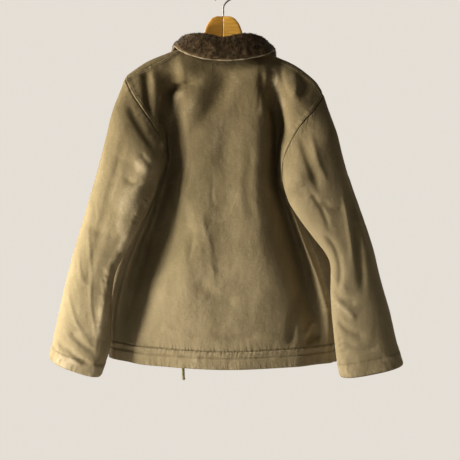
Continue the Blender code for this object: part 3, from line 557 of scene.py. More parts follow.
def sleeve_grid(back, front, side):
    """A sleeve as rings from the armhole to the cuff, each starting at its inner side."""
    up = side_columns(back, side)[LOW_ROWS:, 0]
    down = front[LOW_ROWS:, 0][::-1]
    hole = np.vstack([up, down[1:-1]])
    rings = [hole]
    count = len(hole)
    run = np.concatenate(([0], np.cumsum(np.linalg.norm(np.roll(hole, -1, axis=0) - hole, axis=1))))
    turn = np.interp(run[:-1], (0, run[HIGH_ROWS], run[-1]), (0, math.pi, 2 * math.pi))
    across = -np.sign(np.cos(turn)) * np.abs(np.cos(turn)) ** SECTION_POWER
    deep = np.sign(np.sin(turn)) * np.abs(np.sin(turn)) ** SECTION_POWER
    for outer_x, outer_z, inner_x, inner_z, mid_y, half_y, dip in SLEEVE[side]:
        x = side * ((outer_x + inner_x) / 2 + across * (outer_x - inner_x) / 2)
        z = (outer_z + inner_z) / 2 + across * (outer_z - inner_z) / 2 - dip * deep
        rings.append(np.stack([x, mid_y + half_y * deep, z], axis=1))
    rings = np.array(rings)
    flat = rings.reshape(len(rings), -1)
    steps = np.linspace(0, len(rings) - 1, SLEEVE_ROWS + 1)
    return spline(np.arange(len(rings)), flat, steps).reshape(-1, count, 3)


def band_grid(back, fronts):
    """The hem band below the waist seam, from one front edge round the back to the other."""
    top = np.vstack([fronts[LEFT][0, ::-1], back[0, 1:-1], fronts[RIGHT][0]])
    rows = []
    for i in range(BAND_ROWS + 1):
        down = i / BAND_ROWS
        row = top.copy()
        row[:, 2] -= BAND_HEIGHT * down
        row[:, 1] += np.clip(row[:, 1] / 4, -1, 1) * BAND_BULGE * math.sin(math.pi * down)
        rows.append(row)
    return np.array(rows[::-1])


def grid_normals(grid, closed):
    """Directions at right angles to a grid of points."""
    if closed:
        along = np.roll(grid, -1, axis=1) - np.roll(grid, 1, axis=1)
    else:
        along = np.gradient(grid, axis=1)
    normal = np.cross(along, np.gradient(grid, axis=0))
    return normal / np.maximum(np.linalg.norm(normal, axis=2), 1e-9)[..., None]


def smoothed(field, closed, times):
    """A grid of directions evened out, with its edge rows kept."""
    inner_cols = slice(None) if closed else slice(1, -1)
    for _ in range(times):
        around = field * 2
        for step, axis in ((1, 0), (-1, 0), (1, 1), (-1, 1)):
            around = around + np.roll(field, step, axis=axis)
        around /= np.maximum(np.linalg.norm(around, axis=2), 1e-9)[..., None]
        field[1:-1, inner_cols] = around[1:-1, inner_cols]
    return field


class Seams:
    """Shares one direction outwards among all pieces that meet at a point."""

    def __init__(self):
        self.sums = {}

    def keys(self, grid):
        return [tuple(k) for k in np.round(grid.reshape(-1, 3) * 50).astype(int)]

    def add(self, grid, closed=False):
        for key, normal in zip(self.keys(grid), grid_normals(grid, closed).reshape(-1, 3)):
            self.sums[key] = self.sums.get(key, 0) + normal

    def outward(self, grid, closed):
        found = np.array([self.sums[key] for key in self.keys(grid)]).reshape(grid.shape)
        found /= np.maximum(np.linalg.norm(found, axis=2), 1e-9)[..., None]
        return smoothed(found, closed, FINE)


def unevenness(points, size, seed):
    """Smooth noise from -1 to 1 that changes over about size millimetres."""
    spot = points / size
    cell = np.floor(spot)
    inside = spot - cell
    inside = inside * inside * (3 - 2 * inside)
    total = 0
    for corner in np.ndindex(2, 2, 2):
        corner = np.array(corner)
        at = cell + corner
        value = np.sin(at @ np.array((127.1, 311.7, 74.7)) + seed * 17.31) * 43758.5453
        weight = np.prod(np.where(corner, inside, 1 - inside), axis=-1)
        total = total + weight * (value - np.floor(value))
    return 2 * total - 1


def hill(away, half):
    """1 where away is 0, falling off over about half."""
    return np.exp(-(away / half) ** 2)


def ledge(away, edge, softness):
    """1 up to the edge and 0 past it."""
    return 1.0 / (1 + np.exp((away - edge) / softness))


def near_route(grid, route):
    """Distance of each point from a route, its share of the way along, and the route's length."""
    flat = grid[..., (0, 2)]
    route = np.array(route, float)
    if len(route) > 2:
        run = lengths(np.column_stack([route, np.zeros(len(route))]))
        route = spline(run, route, np.linspace(0, run[-1], 8 * len(route)))
    steps = np.linalg.norm(np.diff(route, axis=0), axis=1)
    run = np.concatenate(([0], np.cumsum(steps)))
    best = np.full(flat.shape[:2], 1e9)
    share = np.zeros(flat.shape[:2])
    for k, step in enumerate(steps):
        way = (route[k + 1] - route[k]) / step
        off = flat - route[k]
        along = np.clip(off @ way, 0, step)
        away = np.linalg.norm(off - along[..., None] * way, axis=-1)
        closer = away < best
        best = np.where(closer, away, best)
        share = np.where(closer, (run[k] + along) / run[-1], share)
    return best, share, run[-1]


def creases(name, grid, outward):
    """Height of the main creases and of the rows of puckers over a piece."""
    shown = np.clip(outward[..., 1] * 3, 0, 1)
    hidden = np.clip(outward[..., 1] * -3, 0, 1)
    total = np.zeros(grid.shape[:2])
    for table, mask in ((CREASES, shown), (HIDDEN_CREASES, hidden)):
        for owner, height, half, route in table:
            if owner == name:
                away, share, _ = near_route(grid, route)
                ends = np.clip(np.minimum(share, 1 - share) * 5 + 0.15, 0, 1)
                total += height * ends * hill(away, half) * mask
    for owner, height, spacing, reach, route in PUCKERS:
        if owner == name:
            away, share, length = near_route(grid, route)
            wave = share * length / spacing
            wave = wave + 0.35 * np.sin(wave * 2.3 + height) + 0.4 * unevenness(grid, 22, 12)
            tooth = np.abs(np.sin(math.pi * wave)) ** 0.7 - 0.6
            ends = np.clip(np.minimum(share, 1 - share) * 12, 0, 1)
            total += height * tooth * ends * hill(away, reach) * shown
    return total


def edge_distances(grid, closed):
    """Distance along the cloth from each point to its grid's first row and to its first column."""
    ring = np.concatenate([grid, grid[:, :1]], axis=1) if closed else grid
    up = np.zeros(grid.shape[:2])
    up[1:] = np.cumsum(np.linalg.norm(np.diff(grid, axis=0), axis=2), axis=0)
    across = np.zeros(ring.shape[:2])
    across[:, 1:] = np.cumsum(np.linalg.norm(np.diff(ring, axis=1), axis=2), axis=1)
    return up, across


# The sewn edges of each piece: which edge of its grid, how its allowance lies, and height, pitch
# and reach of the gathers that stand along it.
SEWN = {
    "back": (("bottom", "under", 1.0, 9, 6), ("top", "lap", 0.5, 12, 10),
             ("start", "lap", 1.0, 12, 12), ("end", "lap", 1.0, 12, 12)),
    "front_left": (("bottom", "under", 1.5, 10, 10), ("end", "under", 0.9, 12, 12),
                   ("top", "under", 0.4, 12, 10)),
    "front_right": (("bottom", "under", 1.5, 10, 10), ("start", "under", 0.9, 12, 12),
                    ("top", "under", 0.4, 12, 10)),
    "sleeve_left": (("bottom", "under", 1.1, 12, 14), ("top", "hem", 1.2, 13, 20)),
    "sleeve_right": (("bottom", "under", 0.9, 12, 12), ("top", "hem", 1.5, 12, 24)),
    "hem_band": (("top", "lap", 0.8, 12, 8), ("bottom", "hem", 0.9, 15, 9)),
}
FELL = 8.0           # width of a lapped seam
HEMS = {"sleeve_left": 27.0, "sleeve_right": 29.0, "hem_band": 24.0}   # heights of the turned hems
SEAM_GROOVE = (1.2, 1.8)     # depth and half width of the line along a seam
HEM_GROOVE = (1.5, 1.7)      # and of the one along a turned hem's upper edge
HEM_GATHERS = 9.0            # how far the gathers reach from that edge
# How far the finish's own gathers reach from a level seam, an upright one and the band's seams.
FINE_GATHERS = {"level": 6.0, "upright": 11.0, "hem_band": 8.0}
# Height, size and seed of the cloth's soft unevenness.
SOFT_FORMS = ((1.3, 62, 1), (0.55, 27, 2), (0.15, 9, 5))


def seam_relief(name, grid, up, across):
    """Height of gathers, grooves and laps along the seams, and how far the level and upright are."""
    total = np.zeros(grid.shape[:2])
    lap = np.zeros(grid.shape[:2])
    level = np.full(grid.shape[:2], FAR)
    upright = level.copy()
    wide = across[:, :grid.shape[1]]
    for which, kind, height, pitch, reach in SEWN.get(name, ()):
        if which in ("bottom", "top"):
            away = up if which == "bottom" else up[-1:] - up
            along = wide
            level = np.minimum(level, away)
        else:
            away = wide if which == "start" else wide[:, -1:] - wide
            along = up
            upright = np.minimum(upright, away)
        slant = 9 * unevenness(grid, 34, 10) * np.clip(away / 12, 0, 1.5)
        spot = np.stack([along + slant, away * 0.3, 0 * along], axis=-1)
        pull = unevenness(grid, 70, 9) * 0.45 + 0.75
        gather = (unevenness(spot, pitch, 3) + 0.5 * unevenness(spot, 0.55 * pitch, 4)) * pull
        total += height * gather * (0.35 + 0.65 * np.clip(away / 3, 0, 1)) * hill(away, reach)
        if kind == "lap":
            lap += ledge(away, FELL, 0.8)
        if kind == "hem":
            from_hem = away - HEMS[name]
            lap += ledge(from_hem, 0, 0.9)
            total += height * gather * hill(from_hem, HEM_GATHERS)
            total -= HEM_GROOVE[0] * hill(from_hem, HEM_GROOVE[1])
        total -= SEAM_GROOVE[0] * hill(away, SEAM_GROOVE[1])
    return total, lap, level, upright


def relief(name, grid, outward, closed):
    """The cloth's whole height over its plain form, with its marks for the shader."""
    up, across = edge_distances(grid, closed)
    seam, lap, level, upright = seam_relief(name, grid, up, across)
    nearest = np.minimum(level, upright)
    soft = sum(height * unevenness(grid, size, seed) for height, size, seed in SOFT_FORMS)
    line = hill(unevenness(grid, 48, 6), 0.09) * np.clip(2 * unevenness(grid, 90, 7), 0, 1)
    folded = creases(name, grid, outward)
    calm = np.clip(armpit_distance(grid) / ARMPIT_CALM, 0, 1)
    total = (seam + lap + (soft + folded - 0.8 * line) * np.clip(nearest / 14, 0.12, 1)) * calm
    fine = seam + 0.3 * lap + 0.35 * soft + 0.3 * np.clip(folded, -2, 2.4) + 0.35 * line
    marks = {
        # this mark: pale wear where the cloth stands up, painted shade where it lies low in creases,
        # troughs and seam grooves
        "wear_and_shade": np.clip(0.5 + 0.3 * fine, 0, 1),
        "level": np.exp(-level / FINE_GATHERS.get(name, FINE_GATHERS["level"])),
        "upright": np.exp(-upright / FINE_GATHERS["upright"]),
    }
    return total, marks, up, across


def armpit_distance(grid):
    """Distance of each point from the nearer armpit."""
    away = []
    for side, table in ((LEFT, BACK_LEFT), (RIGHT, BACK_RIGHT)):
        height, out, deep = table[ARMPIT_ROW][:3]
        away.append(np.linalg.norm(grid - (side * out, deep, height), axis=-1))
    return np.minimum(*away)


def draw_back(grid, closed):
    """The same grid with its edges half a seam's gap further in."""
    moved = grid.copy()
    half = SEAM_GAP / 2

    def step(edge, inside):
        way = inside - edge
        return half * way / np.linalg.norm(way, axis=1)[:, None]

    moved[0] += step(grid[0], grid[1])
    moved[-1] += step(grid[-1], grid[-2])
    if not closed:
        moved[:, 0] += step(grid[:, 0], grid[:, 1])
        moved[:, -1] += step(grid[:, -1], grid[:, -2])
    return moved


def mesh_of(name, points, faces):
    """A mesh from points in millimetres and its faces."""
    mesh = bpy.data.meshes.new(name)
    mesh.from_pydata((np.reshape(points, (-1, 3)) * MM).tolist(), [], faces)
    return mesh


def wall(name, outer, inner, closed, chart, marks):
    """One closed body between two grids of points, with its cloth chart and marked values."""
    rows, cols = outer.shape[:2]
    count = rows * cols
    span = cols if closed else cols - 1
    quads, spots = [], []

    def add(corners, places):
        quads.append(np.stack(corners, axis=1))
        spots.append(np.stack([part for place in places for part in place], axis=1))

    i, j = (part.ravel() for part in np.meshgrid(np.arange(rows - 1), np.arange(span), indexing="ij"))
    k = (j + 1) % cols
    a, b, c, d = i * cols + j, i * cols + k, (i + 1) * cols + k, (i + 1) * cols + j
    add((a, b, c, d), ((i, j), (i, j + 1), (i + 1, j + 1), (i + 1, j)))
    add([corner + count for corner in (a, d, c, b)], ((i, j), (i + 1, j), (i + 1, j + 1), (i, j + 1)))
    j = np.arange(span)
    k = (j + 1) % cols
    for row, way in ((0, 1), (rows - 1, -1)):
        a, b, at = row * cols + j, row * cols + k, np.full(span, row)
        add((a, a + count, b + count, b)[::way], ((at, j), (at, j), (at, j + 1), (at, j + 1))[::way])
    if not closed:
        i = np.arange(rows - 1)
        for col, way in ((0, 1), (cols - 1, -1)):
            a, b, at = i * cols + col, (i + 1) * cols + col, np.full(rows - 1, col)
            add((a, b, b + count, a + count)[::way],
                ((i, at), (i + 1, at), (i + 1, at), (i, at))[::way])
    mesh = mesh_of(name, np.stack([outer, inner]), np.vstack(quads).tolist())
    spots = np.vstack(spots).reshape(-1, 2)
    up, across = chart
    u = across[spots[:, 0], np.minimum(spots[:, 1], across.shape[1] - 1)]
    v = up[spots[:, 0], spots[:, 1] % cols]
    layer = mesh.uv_layers.new(name="cloth")
    layer.data.foreach_set("uv", (np.stack([u, v], axis=1) * MM).ravel().astype(np.float32))
    for mark, values in marks.items():
        layer = mesh.attributes.new(mark, "FLOAT", "POINT")
        layer.data.foreach_set("value", np.tile(values.ravel(), 2).astype(np.float32))
    return mesh


def put(name, mesh, finish, slot, *nodes):
    """Adds a mesh as one of the jacket's pieces, in the place of the solids named."""
    piece = bpy.data.objects.new(name, mesh)
    bpy.context.scene.collection.objects.link(piece)
    mesh.materials.append(finish)
    mesh.polygons.foreach_set("use_smooth", np.ones(len(mesh.polygons), bool))
    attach(piece, "root")
    if nodes:
        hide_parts(*nodes)
    return piece


class Value:
    """A shader socket that takes part in Python maths."""

    def __init__(self, finish, socket):
        self.finish = finish
        self.socket = socket

    def maths(self, operation, *items):
        node = self.finish.tree.nodes.new("ShaderNodeMath")
        node.operation = operation
        for socket, item in zip(node.inputs, items):
            self.finish.join(item, socket)
        return Value(self.finish, node.outputs[0])

    def __add__(self, other):
        return self.maths("ADD", self, other)

    def __radd__(self, other):
        return self.maths("ADD", other, self)

    def __mul__(self, other):
        return self.maths("MULTIPLY", self, other)

    def __rmul__(self, other):
        return self.maths("MULTIPLY", other, self)


class Finish:
    """A finish under way: node() adds any node, and maths is written with Value."""

    def __init__(self, name):
        self.material = bpy.data.materials.new(name)
        self.material.use_nodes = True
        self.tree = self.material.node_tree
        self.shader = self.tree.nodes["Principled BSDF"]

    def join(self, item, socket):
        if isinstance(item, Value):
            self.tree.links.new(item.socket, socket)
        else:
            socket.default_value = item

    def node(self, kind, settings=(), out=0, **sockets):
        node = self.tree.nodes.new("ShaderNode" + kind)
        for key, value in dict(settings).items():
            setattr(node, key, value)
        for key, value in sockets.items():
            self.join(value, node.inputs[key.replace("_", " ")])
        return Value(self, node.outputs[out])

    def blend(self, share, first, second):
        """The first colour where share is 0 and the second where it is 1."""
        node = self.tree.nodes.new("ShaderNodeMix")
        node.data_type = "RGBA"
        self.join(share, node.inputs[0])
        for socket, item in ((node.inputs[6], first), (node.inputs[7], second)):
            if isinstance(item, Value):
                self.tree.links.new(item.socket, socket)
            else:
                socket.default_value = (*item, 1)
        return Value(self, node.outputs[2])

    def ease(self, value, low, high, start=0.0, end=1.0):
        """Turns low to high smoothly into start to end."""
        return self.node("MapRange", {"interpolation_type": "SMOOTHSTEP"}, Value=value,
                         From_Min=low, From_Max=high, To_Min=start, To_Max=end)

    def noise(self, place, scale, detail):
        return self.node("TexNoise", Vector=place, Scale=scale, Detail=detail)

    def scaled(self, place, scale):
        return self.node("Mapping", Vector=place, Scale=scale)

    def set(self, **sockets):
        for key, value in sockets.items():
            self.join(value, self.shader.inputs[key.replace("_", " ")])

    def bump(self, height, distance, strength, under=None):
        sockets = {"Height": height, "Distance": distance, "Strength": strength}
        if under is not None:
            sockets["Normal"] = under
        return self.node("Bump", **sockets)


def shell_finish():
    """Worn olive-khaki cotton with fine cross ribs, pale where seams and puckers stand up, with painted
    shade where the cloth lies low and over the jacket's upper part, and painted light over its lower part.
    """
    f = Finish("shell_cloth")
    place = f.node("TexCoord", out=3)
    chart = f.node("UVMap", {"uv_map": "cloth"})
    wear_and_shade = f.node("Attribute", {"attribute_name": "wear_and_shade"}, out=2)
    level = f.node("Attribute", {"attribute_name": "level"}, out=2)
    upright = f.node("Attribute", {"attribute_name": "upright"}, out=2)
    cloudy = f.noise(place, 7.0, 4.0)
    blotch = f.noise(f.scaled(place, (1.0, 1.0, 0.5)), 34.0, 5.0)
    speck = f.noise(place, 260.0, 3.0)
    slub = f.noise(f.scaled(chart, (60.0, 900.0, 1.0)), 1.0, 2.0)
    tone = f.blend(f.ease(cloudy, 0.34, 0.66), (0.195, 0.155, 0.081), (0.245, 0.193, 0.107))
    tone = f.blend(f.ease(blotch, 0.42, 0.68) * 0.4, tone, (0.31, 0.244, 0.14))
    # painted shade: darker where the cloth lies low, in creases, troughs and seam grooves
    tone = f.blend(f.ease(wear_and_shade, 0.5, 0.2) * 0.55, tone, (0.12, 0.095, 0.042))
    height_for_painted_light = f.node("SeparateXYZ", out=2, Vector=place)
    # painted shade over the jacket's upper part and painted light over its lower part, by height
    tone = f.blend(f.ease(height_for_painted_light, -0.5, -0.2) * 0.62, tone, (0.105, 0.076, 0.033))
    tone = f.blend(f.ease(height_for_painted_light, -0.5, -0.68) * 0.3, tone, (0.34, 0.275, 0.165))
    rubbed = f.ease(wear_and_shade + 0.3 * blotch + 0.16 * speck, 0.84, 1.22)
    tone = f.blend(rubbed * 0.7, tone, (0.48, 0.395, 0.26))
    tone = f.blend(f.ease(speck, 0.5, 0.75) * 0.14, tone, (0.46, 0.38, 0.25))
    tone = f.blend(f.ease(slub, 0.55, 0.8) * 0.16, tone, (0.13, 0.1, 0.05))
    ribs = f.node("TexWave", {"wave_type": "BANDS", "bands_direction": "Y"}, out=1, Vector=chart,
                  Scale=310.0, Distortion=0.6, Detail=1.0)
    rough = f.bump(ribs, 0.0003, 0.35)
    rough = f.bump(slub + 0.8 * speck, 0.0007, 0.5, rough)
    rough = f.bump(blotch + 0.6 * f.noise(place, 90.0, 3.0), 0.0022, 0.45, rough)
    rough = f.bump(f.noise(f.scaled(place, (1.0, 1.0, 0.6)), 48.0, 3.0), 0.003, 0.35, rough)
    across = f.noise(f.scaled(chart, (150.0, 34.0, 1.0)), 1.0, 3.0)
    along = f.noise(f.scaled(chart, (34.0, 150.0, 1.0)), 1.0, 3.0)
    rough = f.bump(across * level + along * upright, 0.006, 0.7, rough)
    f.set(Base_Color=tone, Roughness=0.88, Specular_IOR_Level=0.1, Normal=rough)
    return f.material


def collar_cloth_finish():
    """The collar's shell side, in blotched khaki with pale specks."""
    f = Finish("collar_cloth")
    place = f.node("TexCoord", out=3)
    blotch = f.noise(place, 70.0, 4.0)
    speck = f.noise(place, 420.0, 2.0)
    tone = f.blend(f.ease(blotch, 0.35, 0.65), (0.11, 0.082, 0.036), (0.27, 0.212, 0.124))
    tone = f.blend(f.ease(speck, 0.5, 0.75) * 0.3, tone, (0.42, 0.34, 0.22))
    f.set(Base_Color=tone, Roughness=0.85, Specular_IOR_Level=0.2, Sheen_Weight=0.2,
          Normal=f.bump(blotch + 0.5 * speck, 0.0008, 0.6))
    return f.material


def pile_finish():
    """Dark brown pile in clumps, paler at its tufts' tips and on its thick clumps, with painted shade at
    the tufts' roots and where the pile is thin.
    """
    f = Finish("collar_pile")
    place = f.node("TexCoord", out=3)
    clump = f.noise(place, 120.0, 4.0)
    strand = f.noise(place, 700.0, 2.0)
    wear_and_shade = f.node("Attribute", {"attribute_name": "wear_and_shade"}, out=2)
    tone = f.blend(f.ease(clump, 0.35, 0.68), (0.02, 0.011, 0.004), (0.075, 0.046, 0.02))
    tone = f.blend(f.ease(strand, 0.5, 0.72) * 0.4, tone, (0.13, 0.088, 0.045))
    # painted shade: dark at the tufts' roots and where the pile is thin, paler towards the tips and on
    # thick clumps
    tone = f.blend(f.ease(wear_and_shade, 0.25, 1.0) * 0.75, tone, (0.19, 0.135, 0.075))
    f.set(Base_Color=tone, Roughness=0.9, Specular_IOR_Level=0.12, Sheen_Weight=0.1,
          Sheen_Roughness=0.4, Normal=f.bump(clump + strand, 0.0015, 0.8))
    return f.material


def thread_finish():
    """Sewing thread a little paler than the shell."""
    f = Finish("sewing_thread")
    place = f.node("TexCoord", out=3)
    shade = f.noise(place, 500.0, 2.0)
    tone = f.blend(f.ease(shade, 0.35, 0.65), (0.2, 0.165, 0.09), (0.36, 0.3, 0.19))
    f.set(Base_Color=tone, Roughness=0.7, Normal=f.bump(shade, 0.0002, 0.4))
    return f.material


def wood_finish():
    """Varnished pale hardwood, its grain along the arm, with painted shade over the arm at +X."""
    f = Finish("hanger_wood")
    place = f.node("TexCoord", out=3)
    grain = f.noise(f.scaled(place, (26.0, 260.0, 420.0)), 1.0, 5.0)
    wave = f.noise(f.scaled(place, (9.0, 60.0, 70.0)), 1.0, 3.0)
    side = f.node("SeparateXYZ", out=0, Vector=place)
    # painted shade: the arm at +X, the jacket's left, is darker than the other from the mitre out
    darker = f.ease(side, -0.0008, 0.0008)
    tone = f.blend(f.ease(grain, 0.35, 0.68), (0.72, 0.36, 0.04), (0.9, 0.5, 0.09))
    tone = f.blend(f.ease(wave, 0.4, 0.7) * 0.4, tone, (0.92, 0.55, 0.12))
    tone = f.blend(darker * 0.6, tone, (0.3, 0.11, 0.004))
    f.set(Base_Color=tone, Roughness=f.ease(grain, 0.3, 0.7, 0.34, 0.5), Coat_Weight=0.35,
          Coat_Roughness=0.2, Normal=f.bump(grain, 0.0002, 0.35))
    return f.material


def wire_finish():
    """Dull steel wire with darker stains."""
    f = Finish("hook_metal")
    place = f.node("TexCoord", out=3)
    stain = f.noise(place, 160.0, 4.0)
    tone = f.blend(f.ease(stain, 0.4, 0.7), (0.36, 0.35, 0.33), (0.16, 0.13, 0.1))
    f.set(Base_Color=tone, Metallic=1.0, Roughness=f.ease(stain, 0.35, 0.7, 0.36, 0.55))
    return f.material


def button_finish():
    """Swirled dark brown plastic."""
    f = Finish("button_plastic")
    place = f.node("TexCoord", out=3)
    swirl = f.noise(place, 90.0, 4.0)
    tone = f.blend(f.ease(swirl, 0.35, 0.65), (0.03, 0.02, 0.012), (0.09, 0.06, 0.035))
    f.set(Base_Color=tone, Roughness=f.ease(swirl, 0.3, 0.7, 0.3, 0.5),
          Normal=f.bump(swirl, 0.0001, 0.2))
    return f.material


def cord_finish():
    """Braided green-brown cotton."""
    f = Finish("cord_cotton")
    place = f.node("TexCoord", out=3)
    chart = f.node("UVMap", {"uv_map": "cloth"})
    braid = f.node("TexWave", {"wave_type": "BANDS", "bands_direction": "DIAGONAL"}, out=1,
                   Vector=chart, Scale=60.0, Distortion=0.5)
    fuzz = f.noise(place, 600.0, 2.0)
    tone = f.blend(f.ease(fuzz, 0.35, 0.65), (0.1, 0.09, 0.035), (0.22, 0.19, 0.09))
    f.set(Base_Color=tone, Roughness=0.9, Normal=f.bump(braid + 0.4 * fuzz, 0.0006, 0.7))
    return f.material


def floor_finish():
    """A pale matt floor, a little uneven in tone."""
    f = Finish("pale_floor")
    place = f.node("TexCoord", out=3)
    f.set(Base_Color=f.blend(f.noise(place, 3.0, 2.0) * 0.2, FLOOR_PALE, FLOOR_DULL), Roughness=0.8)
    return f.material


def tube(points, radius, sides):
    """Rings of a round tube along points."""
    points = np.asarray(points, float)
    radius = np.broadcast_to(radius, len(points))
    way = np.gradient(points, axis=0)
    way /= np.linalg.norm(way, axis=1)[:, None]
    side = np.cross(way, (0.0, 1.0, 0.0))
    weak = np.linalg.norm(side, axis=1) < 0.2
    side[weak] = np.cross(way[weak], (1.0, 0.0, 0.0))
    side /= np.linalg.norm(side, axis=1)[:, None]
    other = np.cross(way, side)
    turn = np.arange(sides) * 2 * math.pi / sides
    return points[:, None] + radius[:, None, None] * (
        np.cos(turn)[None, :, None] * side[:, None] + np.sin(turn)[None, :, None] * other[:, None])


def tube_faces(rows, cols, offset=0):
    """Faces round a tube's rings, with both of its ends closed."""
    faces = []
    for i in range(rows - 1):
        for j in range(cols):
            k = (j + 1) % cols
            faces.append((offset + i * cols + j, offset + i * cols + k,
                          offset + (i + 1) * cols + k, offset + (i + 1) * cols + j))
    faces.append(tuple(offset + j for j in reversed(range(cols))))
    faces.append(tuple(offset + (rows - 1) * cols + j for j in range(cols)))
    return faces


def tubes_mesh(name, tubes):
    """One mesh of several tubes, each given as its rings."""
    points, faces = [], []
    for rings in tubes:
        faces += tube_faces(*rings.shape[:2], len(points))
        points += rings.reshape(-1, 3).tolist()
    return mesh_of(name, points, faces)


def tube_mesh(name, points, radius, sides):
    """A tube along points, with its length and girth as its cloth chart."""
    rings = tube(points, radius, sides)
    rows, cols = rings.shape[:2]
    mesh = tubes_mesh(name, [rings])
    run = lengths(np.asarray(points, float))
    girth = 2 * math.pi * np.max(radius)
    spots = [(b / cols * girth, run[a]) for i in range(rows - 1) for j in range(cols)
             for a, b in ((i, j), (i, j + 1), (i + 1, j + 1), (i + 1, j))]
    spots += [(0, 0)] * (2 * cols)
    layer = mesh.uv_layers.new(name="cloth")
    layer.data.foreach_set("uv", (np.array(spots) * MM).ravel().astype(np.float32))
    return mesh


def place_camera():
    """The photo's view: level, straight at the jacket's back, from far off."""
    lens = bpy.data.cameras.new("camera")
    lens.lens = CAMERA_LENS
    lens.sensor_width = CAMERA_SENSOR
    lens.clip_end = CAMERA_END
    camera = bpy.data.objects.new("camera", lens)
    camera.location = CAMERA_PLACE
    camera.rotation_euler = (math.radians(90), 0, math.radians(180))
    bpy.context.scene.collection.objects.link(camera)
    bpy.context.scene.camera = camera


def make_drawcord():
    """The end of the drawcord below the hem, with its frayed tip."""
    route = even_path(CORD_ROUTE, 24)
    radius = CORD_RADIUS + 0.12 * np.sin(np.arange(len(route)) * 1.9)
    cotton = cord_finish()
    cord = put("drawcord", tube_mesh("drawcord", route, radius, 16), cotton, "cord_cotton",
               "drawcord_end")
    rng = np.random.default_rng(11)
    hairs = []
    for _ in range(FRAY_HAIRS):
        start = route[-1] + rng.uniform(-1, 1, 3) * (2.4, 2.4, 0.5) + (0, 0, 14 * rng.random() ** 2 + 1)
        way = np.array((rng.uniform(-1.0, 0.3), rng.uniform(-0.5, 0.6), rng.uniform(-1.0, 0.1)))
        end = start + way / np.linalg.norm(way) * rng.uniform(2.0, 4.5)
        middle = (start + end) / 2 + rng.uniform(-0.7, 0.7, 3)
        hairs.append(tube([start, middle, end], (0.28, 0.22, 0.1), 4))
    fray = put("drawcord_fray", tubes_mesh("drawcord_fray", hairs), cotton, "cord_cotton")


def stitch_mesh(name, lines):
    """Small raised stitches along lines, each given as points, outward directions, pitch and lift."""
    points, faces = [], []
    for line, outward, pitch, lift in lines:
        run = lengths(line)
        for start in np.arange(pitch * 0.3, run[-1] - pitch, pitch):
            a, b = read_at(line, run, [start, start + STITCH_SHARE * pitch])
            up = read_at(outward, run, [start + 0.3 * pitch])[0]
            up /= np.linalg.norm(up)
            side = np.cross(b - a, up)
            side *= STITCH_HALF / np.linalg.norm(side)
            mid = (a + b) / 2 + up * (STITCH_HIGH + lift)
            a, b = a + up * (lift - STITCH_SINK), b + up * (lift - STITCH_SINK)
            n = len(points)
            points += [a - side, a + side, b + side, b - side, mid - 0.7 * side, mid + 0.7 * side]
            faces += [(n, n + 4, n + 5, n + 1), (n + 4, n + 3, n + 2, n + 5), (n, n + 3, n + 4),
                      (n + 1, n + 5, n + 2), (n, n + 1, n + 2, n + 3)]
    return mesh_of(name, points, faces)


def inset_line(grid, outward, up, across, which, away):
    """A line over a piece at one distance from one of its edges, with its outward directions."""
    if which in ("start", "end"):
        up = across[:, :grid.shape[1]].T
        grid, outward = grid.transpose(1, 0, 2), outward.transpose(1, 0, 2)
    if which in ("top", "end"):
        grid, outward, up = grid[::-1], outward[::-1], up[-1] - up[::-1]
    columns = range(grid.shape[1])
    return (np.array([read_at(grid[:, j], up[:, j], [away])[0] for j in columns]),
            np.array([read_at(outward[:, j], up[:, j], [away])[0] for j in columns]))


STITCHES = {
    # which edge, distances from it
    "back": (("top", (2.0, 7.0)), ("start", (2.0, 7.0)), ("end", (2.0, 7.0))),
    "hem_band": (("top", (2.5, 11.5)), ("bottom", (2.5, 8.0))),
    "sleeve_left": (("top", (3.0, 25.5)),),
    "sleeve_right": (("top", (3.0, 27.5)),),
}


def make_cloth(shell, thread):
    """Back, fronts, sleeves and hem band, with their stitches."""
    back = back_grid()
    fronts = {side: front_grid(back, side) for side in (LEFT, RIGHT)}
    sleeves = {side: sleeve_grid(back, fronts[side], side) for side in (LEFT, RIGHT)}
    grids = {
        "back": (back, False),
        "front_left": (fronts[LEFT][:, ::-1], False),
        "front_right": (fronts[RIGHT], False),
        "sleeve_left": (sleeves[LEFT], True),
        "sleeve_right": (sleeves[RIGHT][:, ::-1], True),
        "hem_band": (band_grid(back, fronts), False),
    }
    seams = Seams()
    for grid, closed in grids.values():
        seams.add(grid, closed)
    lines = []
    for name, (grid, closed) in grids.items():
        outward = seams.outward(grid, closed)
        height, marks, up, across = relief(name, grid, outward, closed)
        shaped = grid + height[..., None] * outward
        outer = draw_back(shaped, closed)
        near = np.clip(1 - armpit_distance(grid) / ARMPIT_REACH, 0, 1)
        thick = CLOTH + (ARMPIT_CLOTH - CLOTH) * near
        inner = outer - thick[..., None] * outward
        mesh = wall(name + "_cloth", outer, inner, closed, (up, across), marks)
        put(name + "_cloth", mesh, shell, "shell_cloth", name)
        for which, distances in STITCHES.get(name, ()):
            for away in distances:
                line, ways = inset_line(shaped, outward, up, across, which, away)
                if closed:
                    line, ways = np.vstack([line, line[:1]]), np.vstack([ways, ways[:1]])
                lines.append((line, ways, STITCH_PITCH, 0.1))
        if name == "back":
            for out in TACK_OUTS:
                column = int(np.argmin(np.abs(grid[-3 * FINE, :, 0] - out)))
                heights = grid[:, column, 2]
                rows = (heights > TACK_HEIGHTS[0]) & (heights < TACK_HEIGHTS[1])
                lines.append((shaped[rows, column], outward[rows, column], TACK_PITCH, 0.2))
    put("stitches", stitch_mesh("stitches", lines), thread, "shell_cloth")
    return back, fronts


